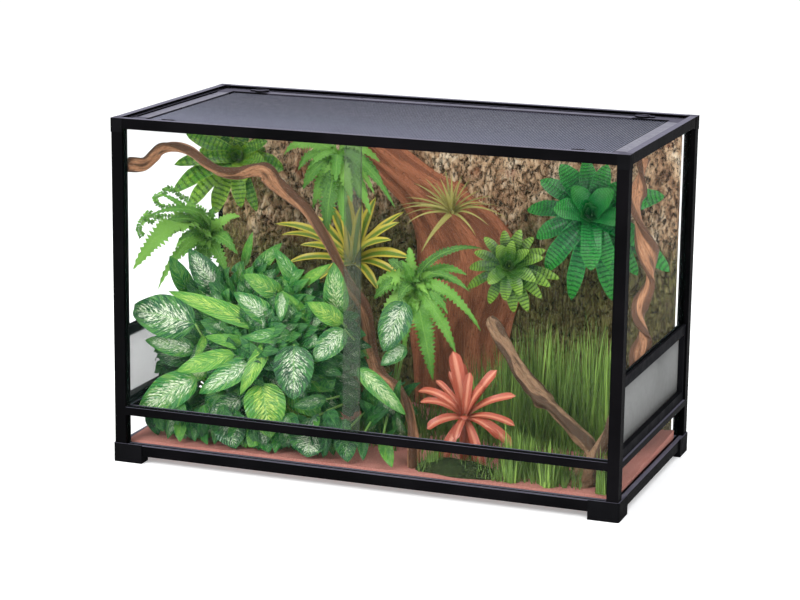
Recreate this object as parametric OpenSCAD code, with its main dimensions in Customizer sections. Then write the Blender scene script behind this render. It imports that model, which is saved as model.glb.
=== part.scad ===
// Framed glass terrarium with two sliding doors, side vents and a lift-off screen lid,
// planted with bark, driftwood and plants. Millimetres, +Z up, the doors face -Y.
// The origin is the centre of the footprint, level with the undersides of the feet.

/* [Tank] */
// Width of the frame, over the posts
frame_w = 900; // [870:5:960]
// Depth of the frame, over the posts
frame_d = 450; // [430:5:500]
// Height from the undersides of the feet to the top of the frame
overall_h = 600; // [590:5:660]

/* [Frame] */
// Side of the square corner posts
post_w = 20; // [20:0.5:23]
// Height of the base rails
base_rail_h = 18; // [17:0.5:21]
// Height of the top rails
top_rail_h = 18; // [18:0.5:21]
// Width of the lip round the top
lip_w = 12; // [11.5:0.25:13]
// Thickness of the front rail's lip and skin
skin_t = 2; // [1.5:0.1:2.5]
// Wall between the hollow cells and the outside of a profile
wall_t = 2.5; // [2:0.1:2.8]
// Reach of the ledges that carry the lid and the floor pane
ledge_w = 8; // [6:0.5:10]
// Thickness of those ledges
ledge_t = 3; // [2.5:0.25:3.5]
// Height of a top corner block
corner_h = 24; // [22:0.5:28]
// How far a top corner block stands proud of the posts
corner_proud = 0.8; // [0.4:0.1:1.2]
// Length of a connector's tongue inside a rail
tongue_l = 18; // [14:1:24]

/* [Feet] */
// How far the feet reach below the base rails
foot_drop = 13; // [11:0.5:16]
// Side of a foot, seen from below
foot_w = 53; // [50:1:62]
// Height of a foot
foot_h = 33; // [32:0.5:38]
// How far a foot stands proud of the posts
foot_proud = 2.5; // [1.5:0.25:3.5]
// Width of a foot's arms under the rails
foot_arm_w = 26; // [24:0.5:30]
// Rounding of a foot's outer corner
foot_round = 4; // [2:0.5:6]

/* [Glass] */
// Thickness of the fixed panes
glass_t = 4; // [3.5:0.25:4.5]
// Gap on each side of a pane in its slot
slot_gap = 0.3; // [0.2:0.05:0.4]
// Distance from the outside of the frame to the middle of a fixed pane
pane_mid = 10.3; // [10.2:0.05:10.4]
// Depth of the slots that hold the panes
slot_d = 6; // [5:0.25:6.5]
// Thickness of the floor pane
floor_t = 5; // [4:0.5:6]

/* [Front] */
// Glass that shows between the front base rail and the sill
front_strip_h = 53; // [45:1:70]
// Height of the sill rail
sill_h = 14; // [14:0.5:18]
// Thickness of the door panes
door_t = 4; // [3.5:0.25:4.25]
// Gap on each side of a door in its groove
door_gap = 0.45; // [0.35:0.05:0.5]
// Wall of the door tracks
track_wall = 1.2; // [1:0.05:1.3]
// Depth of the grooves in the lower track
lower_groove = 6; // [5:0.25:6.5]
// Depth of the grooves in the upper track
upper_groove = 10.2; // [9.5:0.1:10.6]
// How far the closed doors overlap
door_overlap = 32; // [24:1:44]
// Middle of the overlap, to the right of the tank's middle
meeting_x = -16; // [-40:2:20]
// Thickness of the clear strip that closes the gap between the doors
seal_t = 0.9; // [0.6:0.05:1.1]

/* [Side vents] */
// Glass that shows under the vents
side_strip_h = 55; // [48:1:70]
// Height of the rails under the vents
mid_rail_h = 11; // [10:0.5:14]
// Height of the mesh that shows
vent_mesh_h = 103; // [85:1:120]
// Height of a vent frame's lower bar
vent_low_bar = 16; // [13:0.5:20]
// Height of a vent frame's upper bar
vent_top_bar = 18; // [15:0.5:22]
// Width of a vent frame's end bars
vent_end_bar = 8; // [6:0.5:12]
// Gaps along a vent's screen
vent_gaps_along = 24; // [20:1:26]
// Gaps up a vent's screen
vent_gaps_up = 6; // [5:1:7]

/* [Lid] */
// Gap between the lip and the lid
lid_gap = 4; // [4:0.25:5]
// How far the lid's top lies below the top of the frame
lid_drop = 6; // [5.5:0.25:7]
// Height of the lid's rails
lid_rail_h = 8; // [7.5:0.25:9]
// Width of the lid's rails
lid_rail_w = 25; // [23:0.5:30]
// Rounding of the lid rails' outer edge
lid_round = 5; // [3:0.5:6]
// Width of the rabbet that holds the screen
rabbet_w = 9; // [8:0.5:11]
// Depth of the rabbet that holds the screen
rabbet_h = 5; // [4.5:0.1:5.4]
// Thickness of the screens
screen_t = 1; // [0.8:0.1:1.2]
// Width of the bars between a screen's gaps
screen_bar = 2; // [1.5:0.1:3]
// Gaps along the lid's screen
lid_gaps_along = 24; // [20:1:26]
// Gaps across the lid's screen
lid_gaps_across = 12; // [10:1:13]
// Side of the beading under the screen
bead_w = 3.4; // [3:0.1:4]
// Reach of a lid corner along the front or back, from the outside of the frame
lid_arm_x = 108; // [100:1:130]
// Reach of a lid corner along the side, from the outside of the frame
lid_arm_y = 61; // [55:1:80]

/* [Turn latches] */
// Distance of a latch from the side of the frame
latch_in_x = 92; // [85:1:94]
// Distance of a latch from the front or back of the frame
latch_in_y = 28; // [27:0.25:29]
// Radius of a latch's knob
knob_r = 13; // [11:0.25:13.5]
// Height of a latch's knob
knob_h = 3; // [2.5:0.1:3.4]
// Reach of a latch's lug from its shaft
lug_l = 21; // [19:0.25:22]
// Width of a latch's lug
lug_w = 9; // [7:0.25:10]
// Thickness of a latch's lug
lug_t = 2.4; // [2:0.1:2.6]
// Radius of a latch's shaft
shaft_r = 2.5; // [2:0.1:3]
// Radial gap round a latch's shaft
shaft_gap = 0.08; // [0.05:0.01:0.1]

/* [Planting] */
// Height over the floor pane that the planting's places are laid out for
plan_h = 561; // [540:1:620]
// Height of the ground above the frame's underside, at the front
soil_front = 22; // [21:0.5:32]
// Height of the ground above the frame's underside, at the back
soil_back = 33; // [31:0.5:45]
// Thickness of the bark panel's backing
bark_back_t = 12; // [10:0.5:16]
// Depth of the bark's flutes over the backing
bark_relief = 14; // [12:0.5:18]
// Thickness of the leaves
leaf_t = 2; // [1.6:0.1:2.6]
// Radius of the plants' pegs
peg_r = 4; // [3:0.25:5]
// Gap round pegs and root balls in their sockets
root_gap = 0.3; // [0.2:0.05:0.4]
// Radius of a plant's root ball
root_r = 20; // [16:0.5:23]

/* [Hidden] */

frame_black = "#1b1b1e";
satin_grey = "#3b3b40";
clear_glass = [0.80, 0.92, 0.90, 0.35];
wood_brown = "#8a6248";

fit = 0.1;        // between plastic and metal pieces that slide together
seat = 0.3;       // between a pane or panel and what it stands on
reveal = 0.5;     // end gap of panes and doors
bore_fn = 48;

// Levels, from the undersides of the feet
base_z = foot_drop;
base_top = base_z + base_rail_h;
top_z = overall_h - top_rail_h;
sill_z = base_top + front_strip_h;
sill_top = sill_z + sill_h;
mid_z = base_top + side_strip_h;
mid_top = mid_z + mid_rail_h;
vent_open_z = mid_top + vent_low_bar;
vent_open_top = vent_open_z + vent_mesh_h;
vent_top = vent_open_top + vent_top_bar;
lid_top = overall_h - lid_drop;
lid_z = lid_top - lid_rail_h;
floor_z = base_z + ledge_t;
floor_top = floor_z + floor_t;
post_z = base_top;
post_top = overall_h - corner_h;

// Places across the frame
half_w = frame_w / 2;
half_d = frame_d / 2;
span_w = frame_w - 2 * post_w;
span_d = frame_d - 2 * post_w;
slot_w = glass_t + 2 * slot_gap;
slot_in = pane_mid - slot_w / 2;
slot_out = pane_mid + slot_w / 2;
pane_in = pane_mid - glass_t / 2;
pane_bite = slot_d - 1;
pane_w = span_w + 2 * pane_bite;
pane_d = span_d + 2 * pane_bite;
inner_x = half_w - pane_mid - glass_t / 2;   // inner face of the side panes
inner_y = half_d - pane_mid - glass_t / 2;   // inner face of the back pane and front strip
post_cell = post_w - slot_d - 2 * wall_t;
rail_cell_w = 5;
rail_cell_in = 2;
rail_cell_h = base_rail_h - 2 * wall_t;
top_cell_w = 4;
top_cell_z = top_z + 2;
latch_slot_h = lid_drop - skin_t + 0.2;
latch_slot_z = overall_h - skin_t - latch_slot_h;
top_cell_h = latch_slot_z - 1.8 - top_cell_z;
latch_slot_in = 4;

// Door tracks
groove_w = door_t + 2 * door_gap;
track_in = skin_t + fit;
track_w = 2 * groove_w + 3 * track_wall;
track_out = track_in + track_w;
front_groove = track_in + track_wall;
rear_groove = front_groove + groove_w + track_wall;
lower_track_h = lower_groove + 2;
upper_track_h = upper_groove + track_wall;
door_z = sill_top - lower_groove + seat;
door_h = top_z + 4 - door_z;
door_edge = span_w / 2 - reveal;
left_door_right = meeting_x + door_overlap / 2;
right_door_left = meeting_x - door_overlap / 2;

// Lid
lid_in = lip_w + lid_gap;
lid_half_w = half_w - lid_in;
lid_half_d = half_d - lid_in;
ledge_out = lid_in + ledge_w + 2;
ledge_z = lid_z - ledge_t;
rabbet_half_w = lid_half_w - lid_rail_w + rabbet_w;
rabbet_half_d = lid_half_d - lid_rail_w + rabbet_w;
screen_z = lid_z + rabbet_h - screen_t;
corner_rise = 0.2;
knob_z = lid_top + corner_rise + 0.3;
lug_z = knob_z + 0.1;
collar_r = shaft_r + 1.5;
collar_h = 1.2;

// Vents
vent_in = 4;
vent_t = 12;
vent_screen_in = vent_in + vent_t - 1.5 - screen_t;
vent_rabbet = 4;

// Planting
bark_y = half_d - post_w - 0.4 - bark_back_t;      // front of the bark's backing
flute_y = bark_y - bark_relief;                     // front of the bark's flutes
bark_top = top_z - 7;
peg_y = bark_y + 4;                                 // floor of the sockets in the bark
pocket_z = floor_top + 5;                           // floor of the pockets in the ground
ground_back = bark_y - seat;
left_x = -inner_x;                                  // plants on the left keep to this wall
right_x = inner_x;                                  // plants on the right keep to this one
front_y = -half_d;                                  // what stands near the doors keeps to them

// A place in the planting, whose height above the floor pane follows the tank's
function placed(p) = [p[0], p[1], floor_top + (p[2] - floor_top) * (top_z - floor_top) / plan_h];

// ---------- shared shapes ----------

// Puts a child made for the front left corner at each corner that corners lists, as [right, back]
module at_corners(corners = [[0, 0], [1, 0], [0, 1], [1, 1]])
    for (c = corners)
        mirror([c[0], 0, 0])
            mirror([0, c[1], 0])
                translate([-half_w, -half_d, 0])
                    children();

// A profile drawn as [distance in from the outside, height], run along the front between the posts
module along_front(length)
    translate([-length / 2, -half_d, 0])
        rotate([90, 0, 90])
            linear_extrude(height = length)
                children();

// The same, run along the back
module along_back(length)
    mirror([0, 1, 0])
        along_front(length)
            children();

// The same, run along the left side
module along_left(length)
    translate([-half_w, length / 2, 0])
        rotate([90, 0, 0])
            linear_extrude(height = length)
                children();

module box_2d(x0, y0, x1, y1)
    translate([x0, y0])
        square([x1 - x0, y1 - y0]);

// ---------- frame ----------

module base_profile()
    difference() {
        box_2d(0, base_z, post_w, base_top);
        box_2d(slot_in, base_top - slot_d, slot_out, base_top + 1);
        box_2d(rail_cell_in, base_z + wall_t, rail_cell_in + rail_cell_w, base_z + wall_t + rail_cell_h);
    }

module screw_holes(z0, z1, r)
    for (p = [[screw_in, screw_mid], [screw_mid, screw_in]])
        translate([p[0], p[1], z0])
            cylinder(h = z1 - z0, r = r, $fn = bore_fn);

screw_mid = rail_cell_in + rail_cell_w / 2;
screw_in = post_w + 12;
screw_r = 1.3;
screw_head_r = 2.8;
screw_head_h = 1.8;
screw_sunk = 1.2;

module base_rail_front()
    color(frame_black)
        difference() {
            union() {
                along_front(span_w)
                    base_profile();
                along_front(span_w)
                    box_2d(post_w - 0.01, base_z, post_w + ledge_w, base_z + ledge_t);
            }
            at_corners([[0, 0], [1, 0]])
                screw_holes(base_z - 1, base_z + wall_t + 1, screw_r + fit);
        }

module base_rail_left()
    color(frame_black)
        difference() {
            union() {
                along_left(span_d)
                    base_profile();
                along_left(span_d - 2 * ledge_w - 2 * seat)
                    box_2d(post_w - 0.01, base_z, post_w + ledge_w, base_z + ledge_t);
            }
            at_corners([[0, 0], [0, 1]])
                screw_holes(base_z - 1, base_z + wall_t + 1, screw_r + fit);
        }

// Slots for the panes' edges in the two inner faces of a post or corner piece
module pane_slots_2d() {
    box_2d(slot_in, post_w - slot_d, slot_out, post_w + 1);
    box_2d(post_w - slot_d, slot_in, post_w + 1, slot_out);
}

module post()
    color(frame_black)
        translate([0, 0, post_z])
            linear_extrude(height = post_top - post_z)
                difference() {
                    square(post_w);
                    box_2d(wall_t, wall_t, wall_t + post_cell, wall_t + post_cell);
                    pane_slots_2d();
                }

// The part of a top rail that its three kinds share: a lip with a latch slot under it
module top_profile()
    difference() {
        union() {
            box_2d(0, top_z, lip_w, overall_h);
            box_2d(0, top_z, lid_in - seat, top_z + slot_d + skin_t);
            box_2d(0, top_z, lid_in + 0.01, lid_z);
            box_2d(lid_in, ledge_z, ledge_out, lid_z);
        }
        box_2d(slot_in, top_z - 1, slot_out, top_z + slot_d);
        box_2d(latch_slot_in, latch_slot_z, lip_w + 1, latch_slot_z + latch_slot_h);
        box_2d(rail_cell_in, top_cell_z, rail_cell_in + top_cell_w, top_cell_z + top_cell_h);
    }

module top_rail_back()
    color(frame_black)
        along_back(span_w)
            top_profile();

module top_rail_left()
    color(frame_black)
        intersection() {
            along_left(span_d)
                top_profile();
            union() {
                translate([-half_w, -span_d / 2, top_z])
                    cube([lid_in, span_d, top_rail_h]);
                translate([-half_w, -half_d + ledge_out + seat, top_z])
                    cube([ledge_out, frame_d - 2 * ledge_out - 2 * seat, top_rail_h]);
            }
        }

module top_rail_front()
    color(frame_black)
        along_front(span_w)
            difference() {
                box_2d(0, top_z, lip_w, overall_h);
                box_2d(skin_t, top_z - 1, lip_w + 1, overall_h - skin_t);
            }

// Tongue from a corner block into the front rail, or into the hollow cell of a back or side rail
module front_tongue()
    translate([post_w - 0.01, skin_t + fit, top_z + upper_track_h + 0.3])
        cube([tongue_l, lip_w - skin_t - 2 * fit, overall_h - skin_t - fit - top_z - upper_track_h - 0.3]);

module top_tongue()
    translate([post_w - 0.01, rail_cell_in + fit, top_cell_z + fit])
        cube([tongue_l, top_cell_w - 2 * fit, top_cell_h - 2 * fit]);

module base_tongue()
    translate([post_w - 0.01, rail_cell_in + fit, base_z + wall_t + fit])
        cube([tongue_l, rail_cell_w - 2 * fit, rail_cell_h - 2 * fit]);

// Swaps the X and Y of a corner's child, so that a tongue along the front becomes one along the side
module swapped()
    mirror([1, -1, 0])
        children();

module post_plug(z)
    translate([wall_t + fit, wall_t + fit, z])
        cube([post_cell - 2 * fit, post_cell - 2 * fit, tongue_l]);

module corner_block(back) {
    difference() {
        translate([-corner_proud, -corner_proud, post_top])
            cube([post_w + corner_proud, post_w + corner_proud, corner_h]);
        translate([0, 0, post_top - 1])
            linear_extrude(height = top_z + slot_d + 1 - post_top)
                pane_slots_2d();
        translate([lip_w, lip_w, lid_z])
            cube([post_w, post_w, corner_h]);
    }
    post_plug(post_top - tongue_l + 0.01);
    swapped()
        top_tongue();
    if (back) {
        top_tongue();
    } else {
        front_tongue();
    }
}

module top_corner_blocks()
    color(frame_black) {
        at_corners([[0, 0], [1, 0]])
            corner_block(false);
        at_corners([[0, 1], [1, 1]])
            corner_block(true);
    }

module rounded_l_2d() {
    outer = foot_w - foot_proud;
    inner = foot_arm_w - foot_proud;
    difference() {
        translate([-foot_proud, -foot_proud])
            square(foot_w);
        box_2d(inner, inner, outer + 1, outer + 1);
        translate([-foot_proud, -foot_proud])
            difference() {
                translate([-1, -1])
                    square(foot_round + 1);
                translate([foot_round, foot_round])
                    circle(r = foot_round, $fn = bore_fn);
            }
    }
}

module foot()
    color(frame_black)
        difference() {
            union() {
                linear_extrude(height = base_z)
                    rounded_l_2d();
                intersection() {
                    linear_extrude(height = foot_h)
                        rounded_l_2d();
                    union() {
                        translate([-foot_proud, -foot_proud, 0])
                            cube([foot_w, foot_proud, foot_h]);
                        translate([-foot_proud, -foot_proud, 0])
                            cube([foot_proud, foot_w, foot_h]);
                    }
                }
                difference() {
                    translate([-0.01, -0.01, base_z - 0.01])
                        cube([post_w + 0.01, post_w + 0.01, post_z - base_z + 0.01]);
                    translate([0, 0, base_top - slot_d])
                        linear_extrude(height = slot_d + 1)
                            pane_slots_2d();
                }
                post_plug(post_z - 0.01);
                base_tongue();
                swapped()
                    base_tongue();
            }
            screw_holes(-1, base_z + wall_t + rail_cell_h + 1, screw_r + fit);
            screw_holes(-1, screw_sunk + screw_head_h, screw_head_r + fit);
        }

module foot_screws()
    color("silver")
        at_corners() {
            screw_holes(screw_sunk, screw_sunk + screw_head_h, screw_head_r);
            screw_holes(screw_sunk, base_z + wall_t + rail_cell_h - 2, screw_r);
        }

module sill_rail()
    color(frame_black)
        along_front(span_w)
            difference() {
                box_2d(0, sill_z, post_w, sill_top);
                box_2d(slot_in, sill_z - 1, slot_out, sill_z + 3.5);
                box_2d(skin_t, sill_top - lower_track_h, track_out + fit, sill_top + 1);
            }

module track_grooves_2d(z0, z1) {
    box_2d(front_groove, z0, front_groove + groove_w, z1);
    box_2d(rear_groove, z0, rear_groove + groove_w, z1);
}

module lower_door_track()
    color(satin_grey)
        along_front(span_w - 2 * seat)
            difference() {
                box_2d(track_in, sill_top - lower_track_h, track_out, sill_top);
                track_grooves_2d(sill_top - lower_groove, sill_top + 1);
            }

module upper_door_track()
    color(satin_grey)
        along_front(span_w - 2 * seat)
            difference() {
                union() {
                    box_2d(track_in, top_z, track_out, top_z + upper_track_h);
                    box_2d(track_out - 0.01, ledge_z, ledge_out, lid_z);
                }
                track_grooves_2d(top_z - 1, top_z + upper_groove);
            }

module mid_rail()
    color(frame_black)
        along_left(span_d)
            difference() {
                box_2d(0, mid_z, post_w, mid_top);
                box_2d(slot_in, mid_z - 1, slot_out, mid_z + slot_d);
            }

// ---------- panes, vents and doors ----------

module floor_pane()
    color(clear_glass)
        translate([-span_w / 2 + reveal, -span_d / 2 + reveal, floor_z])
            cube([span_w - 2 * reveal, span_d - 2 * reveal, floor_t]);

// A fixed pane along the front, from z0 to z1
module front_pane(z0, z1)
    color(clear_glass)
        translate([-pane_w / 2, -half_d + pane_in, z0])
            cube([pane_w, glass_t, z1 - z0]);

// A fixed pane along the left side, from z0 to z1
module side_pane(z0, z1)
    color(clear_glass)
        translate([-half_w + pane_in, -pane_d / 2, z0])
            cube([glass_t, pane_d, z1 - z0]);

pane_foot = base_top - slot_d + seat;
module strip_pane_left()
    side_pane(pane_foot, mid_z + pane_bite);

module upper_pane_left()
    side_pane(vent_top - slot_d + seat, top_z + pane_bite);

module vent_frame() {
    length = span_d - 2 * seat;
    open_d = length - 2 * vent_end_bar;
    color(satin_grey)
        difference() {
            along_left(length)
                difference() {
                    box_2d(vent_in, mid_top, vent_in + vent_t, vent_top);
                    box_2d(slot_in, vent_top - slot_d, slot_out, vent_top + 1);
                }
            translate([-half_w + vent_in - 1, -open_d / 2, vent_open_z])
                cube([vent_t + 2, open_d, vent_mesh_h]);
            translate([-half_w + vent_screen_in, -open_d / 2 - vent_rabbet, vent_open_z - vent_rabbet])
                cube([vent_t, open_d + 2 * vent_rabbet, vent_mesh_h + 2 * vent_rabbet]);
        }
}

// A flat screen in the XY plane, with its gaps evenly spaced
module screen_2d(length, width, gaps, edge) {
    pitch_x = (length - 2 * edge) / gaps[0];
    pitch_y = (width - 2 * edge) / gaps[1];
    difference() {
        square([length, width], center = true);
        for (i = [0 : gaps[0] - 1])
            for (j = [0 : gaps[1] - 1])
                translate([-length / 2 + edge + (i + 0.5) * pitch_x,
                           -width / 2 + edge + (j + 0.5) * pitch_y])
                    square([pitch_x - screen_bar, pitch_y - screen_bar], center = true);
    }
}

module vent_screen()
    color("dimgray")
        translate([-half_w + vent_screen_in, 0, vent_open_z + vent_mesh_h / 2])
            rotate([90, 0, 90])
                linear_extrude(height = screen_t)
                    screen_2d(span_d - 2 * seat - 2 * vent_end_bar + 2 * vent_rabbet - 2 * seat,
                        vent_mesh_h + 2 * vent_rabbet - 2 * seat,
                        [vent_gaps_along, vent_gaps_up], vent_rabbet);

module door(x0, x1, groove)
    color(clear_glass)
        translate([x0, -half_d + groove + door_gap, door_z])
            cube([x1 - x0, door_t, door_h]);

// Clear strip behind the left door's meeting edge, with a cap over the edge
module door_seal()
    color([0.75, 0.80, 0.75, 0.6])
        translate([0, 0, sill_top + reveal])
            linear_extrude(height = top_z - sill_top - 2 * reveal) {
                translate([left_door_right - door_overlap + 1, -half_d + front_groove + door_gap + door_t])
                    square([door_overlap - 1, seal_t]);
                translate([left_door_right - seal_t, -half_d + front_groove + door_gap])
                    square([seal_t, door_t + seal_t]);
            }

// ---------- lid ----------

module lid_rail_profile()
    difference() {
        union() {
            box_2d(lid_in + lid_round, lid_z, lid_in + lid_rail_w, lid_top);
            box_2d(lid_in, lid_z, lid_in + lid_round + 0.01, lid_top - lid_round);
            intersection() {
                translate([lid_in + lid_round, lid_top - lid_round])
                    circle(r = lid_round, $fn = bore_fn);
                box_2d(lid_in, lid_top - lid_round - 0.01, lid_in + lid_round + 0.01, lid_top);
            }
        }
        box_2d(lid_in + lid_rail_w - rabbet_w, lid_z - 1, lid_in + lid_rail_w + 1, lid_z + rabbet_h);
    }

module lid_rail_front()
    color(satin_grey)
        along_front(frame_w - 2 * lid_arm_x)
            lid_rail_profile();

module lid_rail_left()
    color(satin_grey)
        along_left(frame_d - 2 * lid_arm_y)
            lid_rail_profile();

module lid_corner()
    difference() {
        translate([lid_in, lid_in, lid_z])
            linear_extrude(height = lid_rail_h + corner_rise)
                difference() {
                    square([lid_arm_x - lid_in, lid_arm_y - lid_in]);
                    translate([lid_rail_w, lid_rail_w])
                        square([lid_arm_x, lid_arm_y]);
                }
        translate([lid_in + lid_rail_w - rabbet_w, lid_in + lid_rail_w - rabbet_w, lid_z - 1])
            cube([lid_arm_x, lid_arm_y, rabbet_h + 1]);
        translate([latch_in_x, latch_in_y, lid_z - 1])
            cylinder(h = lid_rail_h + 3, r = shaft_r + shaft_gap, $fn = bore_fn);
        translate([latch_in_x, latch_in_y, lid_z - 1])
            cylinder(h = collar_h + 1.6, r = collar_r + seat, $fn = bore_fn);
    }

module lid_corners()
    color("#2a2a2e")
        at_corners()
            lid_corner();

module lid_screen()
    color("dimgray")
        translate([0, 0, screen_z])
            linear_extrude(height = screen_t)
                screen_2d(2 * rabbet_half_w - 2 * seat, 2 * rabbet_half_d - 2 * seat,
                    [lid_gaps_along, lid_gaps_across], rabbet_w);

module screen_beading()
    color("black")
        for (m = [0, 1]) {
            mirror([0, m, 0])
                translate([-rabbet_half_w + seat, -rabbet_half_d + seat, screen_z - bead_w])
                    cube([2 * rabbet_half_w - 2 * seat, bead_w, bead_w]);
            mirror([m, 0, 0])
                translate([-rabbet_half_w + seat, -rabbet_half_d + 2 * seat + bead_w, screen_z - bead_w])
                    cube([bead_w, 2 * rabbet_half_d - 4 * seat - 2 * bead_w, bead_w]);
        }

// A turn latch at its corner, unlocked, with its lug towards the corner
module latch()
    color("#303034")
        translate([latch_in_x, latch_in_y, 0]) {
            translate([0, 0, knob_z])
                cylinder(h = knob_h, r = knob_r, $fn = 64);
            translate([-lug_l, -lug_w / 2, lug_z])
                cube([lug_l, lug_w, lug_t]);
            translate([-knob_r + 2, -1.5, knob_z + knob_h - 0.01])
                cube([2 * knob_r - 4, 3, 1.4]);
            translate([0, 0, lid_z + seat])
                cylinder(h = knob_z - lid_z - seat + 0.5, r = shaft_r, $fn = bore_fn);
            translate([0, 0, lid_z + seat])
                cylinder(h = collar_h, r = collar_r, $fn = bore_fn);
        }

// ---------- driftwood ----------

function unit(v) = v / norm(v);
function tangent(path, i) = unit(path[min(i + 1, len(path) - 1)] - path[max(i - 1, 0)]);

// One tube through the path's points, with its own radius at each and eight sides
module limb(path, radii, side = [0, 1, 0], sides = 8) {
    rings = len(path);
    points = [
        for (i = [0 : rings - 1])
            let (t = tangent(path, i), u = unit(cross(t, side)), v = cross(u, t))
                for (k = [0 : sides - 1])
                    path[i] + radii[i] * (cos(360 * k / sides) * u + sin(360 * k / sides) * v)
    ];
    skin = [
        for (i = [0 : rings - 2])
            for (k = [0 : sides - 1])
                let (a = i * sides + k, b = i * sides + (k + 1) % sides)
                    each [[a, b, a + sides], [b, b + sides, a + sides]]
    ];
    start = [for (k = [1 : sides - 2]) [0, k + 1, k]];
    last = (rings - 1) * sides;
    end = [for (k = [1 : sides - 2]) [last, last + k, last + k + 1]];
    polyhedron(points = points, faces = concat(skin, start, end), convexity = 6);
}

// Half a trunk in relief: each ring is a D with its flat side on the bark panel
module trunk_relief(path, widths, depths, steps = 6) {
    rings = len(path);
    count = steps + 1;
    points = [
        for (i = [0 : rings - 1])
            let (t = tangent(path, i), u = unit(cross(t, [0, 1, 0])))
                for (k = [0 : steps])
                    path[i] + widths[i] * cos(180 * k / steps) * u - [0, depths[i] * sin(180 * k / steps), 0]
    ];
    skin = [
        for (i = [0 : rings - 2])
            for (k = [0 : steps])
                let (a = i * count + k, b = i * count + (k + 1) % count)
                    each [[a, a + count, b], [b, a + count, b + count]]
    ];
    start = [for (k = [1 : steps - 1]) [0, k, k + 1]];
    last = (rings - 1) * count;
    end = [for (k = [1 : steps - 1]) [last, last + k + 1, last + k]];
    polyhedron(points = points, faces = concat(skin, start, end), convexity = 6);
}

liana_foot = [80, front_y + 62];
liana_upper = [
    [left_x + 14, front_y + 35, 512], [left_x + 26, front_y + 75, 524], [left_x + 52, front_y + 125, 538],
    [left_x + 100, front_y + 165, 496], [left_x + 147, front_y + 195, 499],
    [left_x + 189, front_y + 215, 486],
    [-200, front_y + 225, 413], [-143, front_y + 225, 356], [-97, front_y + 205, 292],
    [-65, front_y + 195, 244], [-40, front_y + 175, 197], [-8, front_y + 155, 160],
    [38, front_y + 125, 132], [68, front_y + 92, 86]
];
liana_path = concat([for (p = liana_upper) placed(p)],
    [[liana_foot[0], liana_foot[1], pocket_z + 24], [liana_foot[0], liana_foot[1], pocket_z]]);
liana_radii = [8, 12, 13, 14, 13, 14, 13, 14, 13, 12, 13, 13, 14, 15, 17, 17];

module liana()
    color(wood_brown)
        limb(liana_path, liana_radii);

stump = [right_x - 66, front_y + 75];
vine_foot = [right_x - 33, 60];
lean_upper = [
    [right_x - 284, front_y + 205, 254], [right_x - 214, front_y + 175, 198],
    [right_x - 141, front_y + 145, 143], [right_x - 66, front_y + 110, 96]
];
lean_path = concat([for (p = lean_upper) placed(p)], [[stump[0] + 4, stump[1] + 4, pocket_z + 40]]);
fork_path = [
    [stump[0], stump[1], pocket_z + 29], [stump[0] + 16, stump[1] + 4, pocket_z + 54],
    [stump[0] + 34, stump[1] + 14, pocket_z + 92], [stump[0] + 42, stump[1] + 20, pocket_z + 124]
];
vine_upper = [
    [right_x - 38, 75, 100],
    [right_x - 23, 60, 150], [right_x - 28, 20, 195], [right_x - 20, 45, 245], [right_x - 26, 20, 295],
    [right_x - 18, 60, 345], [right_x - 24, 30, 410], [right_x - 36, 0, 480], [right_x - 30, 5, 520],
    [right_x - 26, 14, 556]
];
vine_path = concat([[vine_foot[0], vine_foot[1], pocket_z], [vine_foot[0], vine_foot[1], pocket_z + 30]],
    [for (p = vine_upper) placed(p)]);
vine_radii = [13, 13, 11, 12, 13, 12, 11, 12, 13, 12, 11, 8];

module branches()
    color("#7d5a40") {
        limb(lean_path, [12, 14, 15, 15, 12]);
        limb(fork_path, [14, 13, 11, 8]);
        translate([stump[0], stump[1], pocket_z])
            cylinder(h = 44, r1 = 30, r2 = 16, $fn = 36);
        limb(vine_path, vine_radii, [1, 0, 0]);
    }

trunk_places = [
    [42, flute_y + 8, 35], [38, flute_y + 8, 130], [38, flute_y + 8, 210], [36, flute_y + 8, 280],
    [28, flute_y + 8, 340], [0, flute_y + 8, 395], [-44, flute_y + 8, 440], [-100, flute_y + 8, 482],
    [-160, flute_y + 8, 522]
];
trunk_path = [for (p = trunk_places) placed(p)];
trunk_widths = [86, 86, 92, 96, 84, 62, 46, 40, 36];
trunk_depths = [44, 42, 40, 38, 36, 32, 28, 25, 22];

// ---------- plants ----------

// A flat leaf blade along +X, widest at belly
module blade(length, width, root, belly)
    hull()
        translate([0, 0, -leaf_t / 2])
            linear_extrude(height = leaf_t)
                polygon([
                    [0, -root / 2], [length * belly, -width / 2], [length * 0.8, -width * 0.3], [length, 0],
                    [length * 0.8, width * 0.3], [length * belly, width / 2], [0, root / 2]
                ]);

// A blade from a to b, turned about its own length by roll
module leaf_between(a, b, width, roll) {
    d = b - a;
    translate(a)
        rotate([0, -asin(d[2] / norm(d)), atan2(d[1], d[0])])
            rotate([roll, 0, 0])
                blade(norm(d), width, 4, 0.4);
}

// A square stalk from a to b
module stalk(a, b, width = 4) {
    d = b - a;
    translate(a)
        rotate([0, acos(d[2] / norm(d)), atan2(d[1], d[0])])
            translate([-width / 2, -width / 2, 0])
                cube([width, width, norm(d)]);
}

// An arching leaf along +X that leaves at the angle rise and bends down by droop at its middle
module arch_leaf(length, width, rise, droop) {
    half = length * 0.52;
    rotate([0, -rise, 0])
        hull()
            translate([0, 0, -leaf_t / 2])
                linear_extrude(height = leaf_t)
                    polygon([[0, -width * 0.3], [half + 0.5, -width / 2],
                             [half + 0.5, width / 2], [0, width * 0.3]]);
    translate([half * cos(rise), 0, half * sin(rise)])
        rotate([0, droop - rise, 0])
            blade(half, width, width, 0.3);
}

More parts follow.
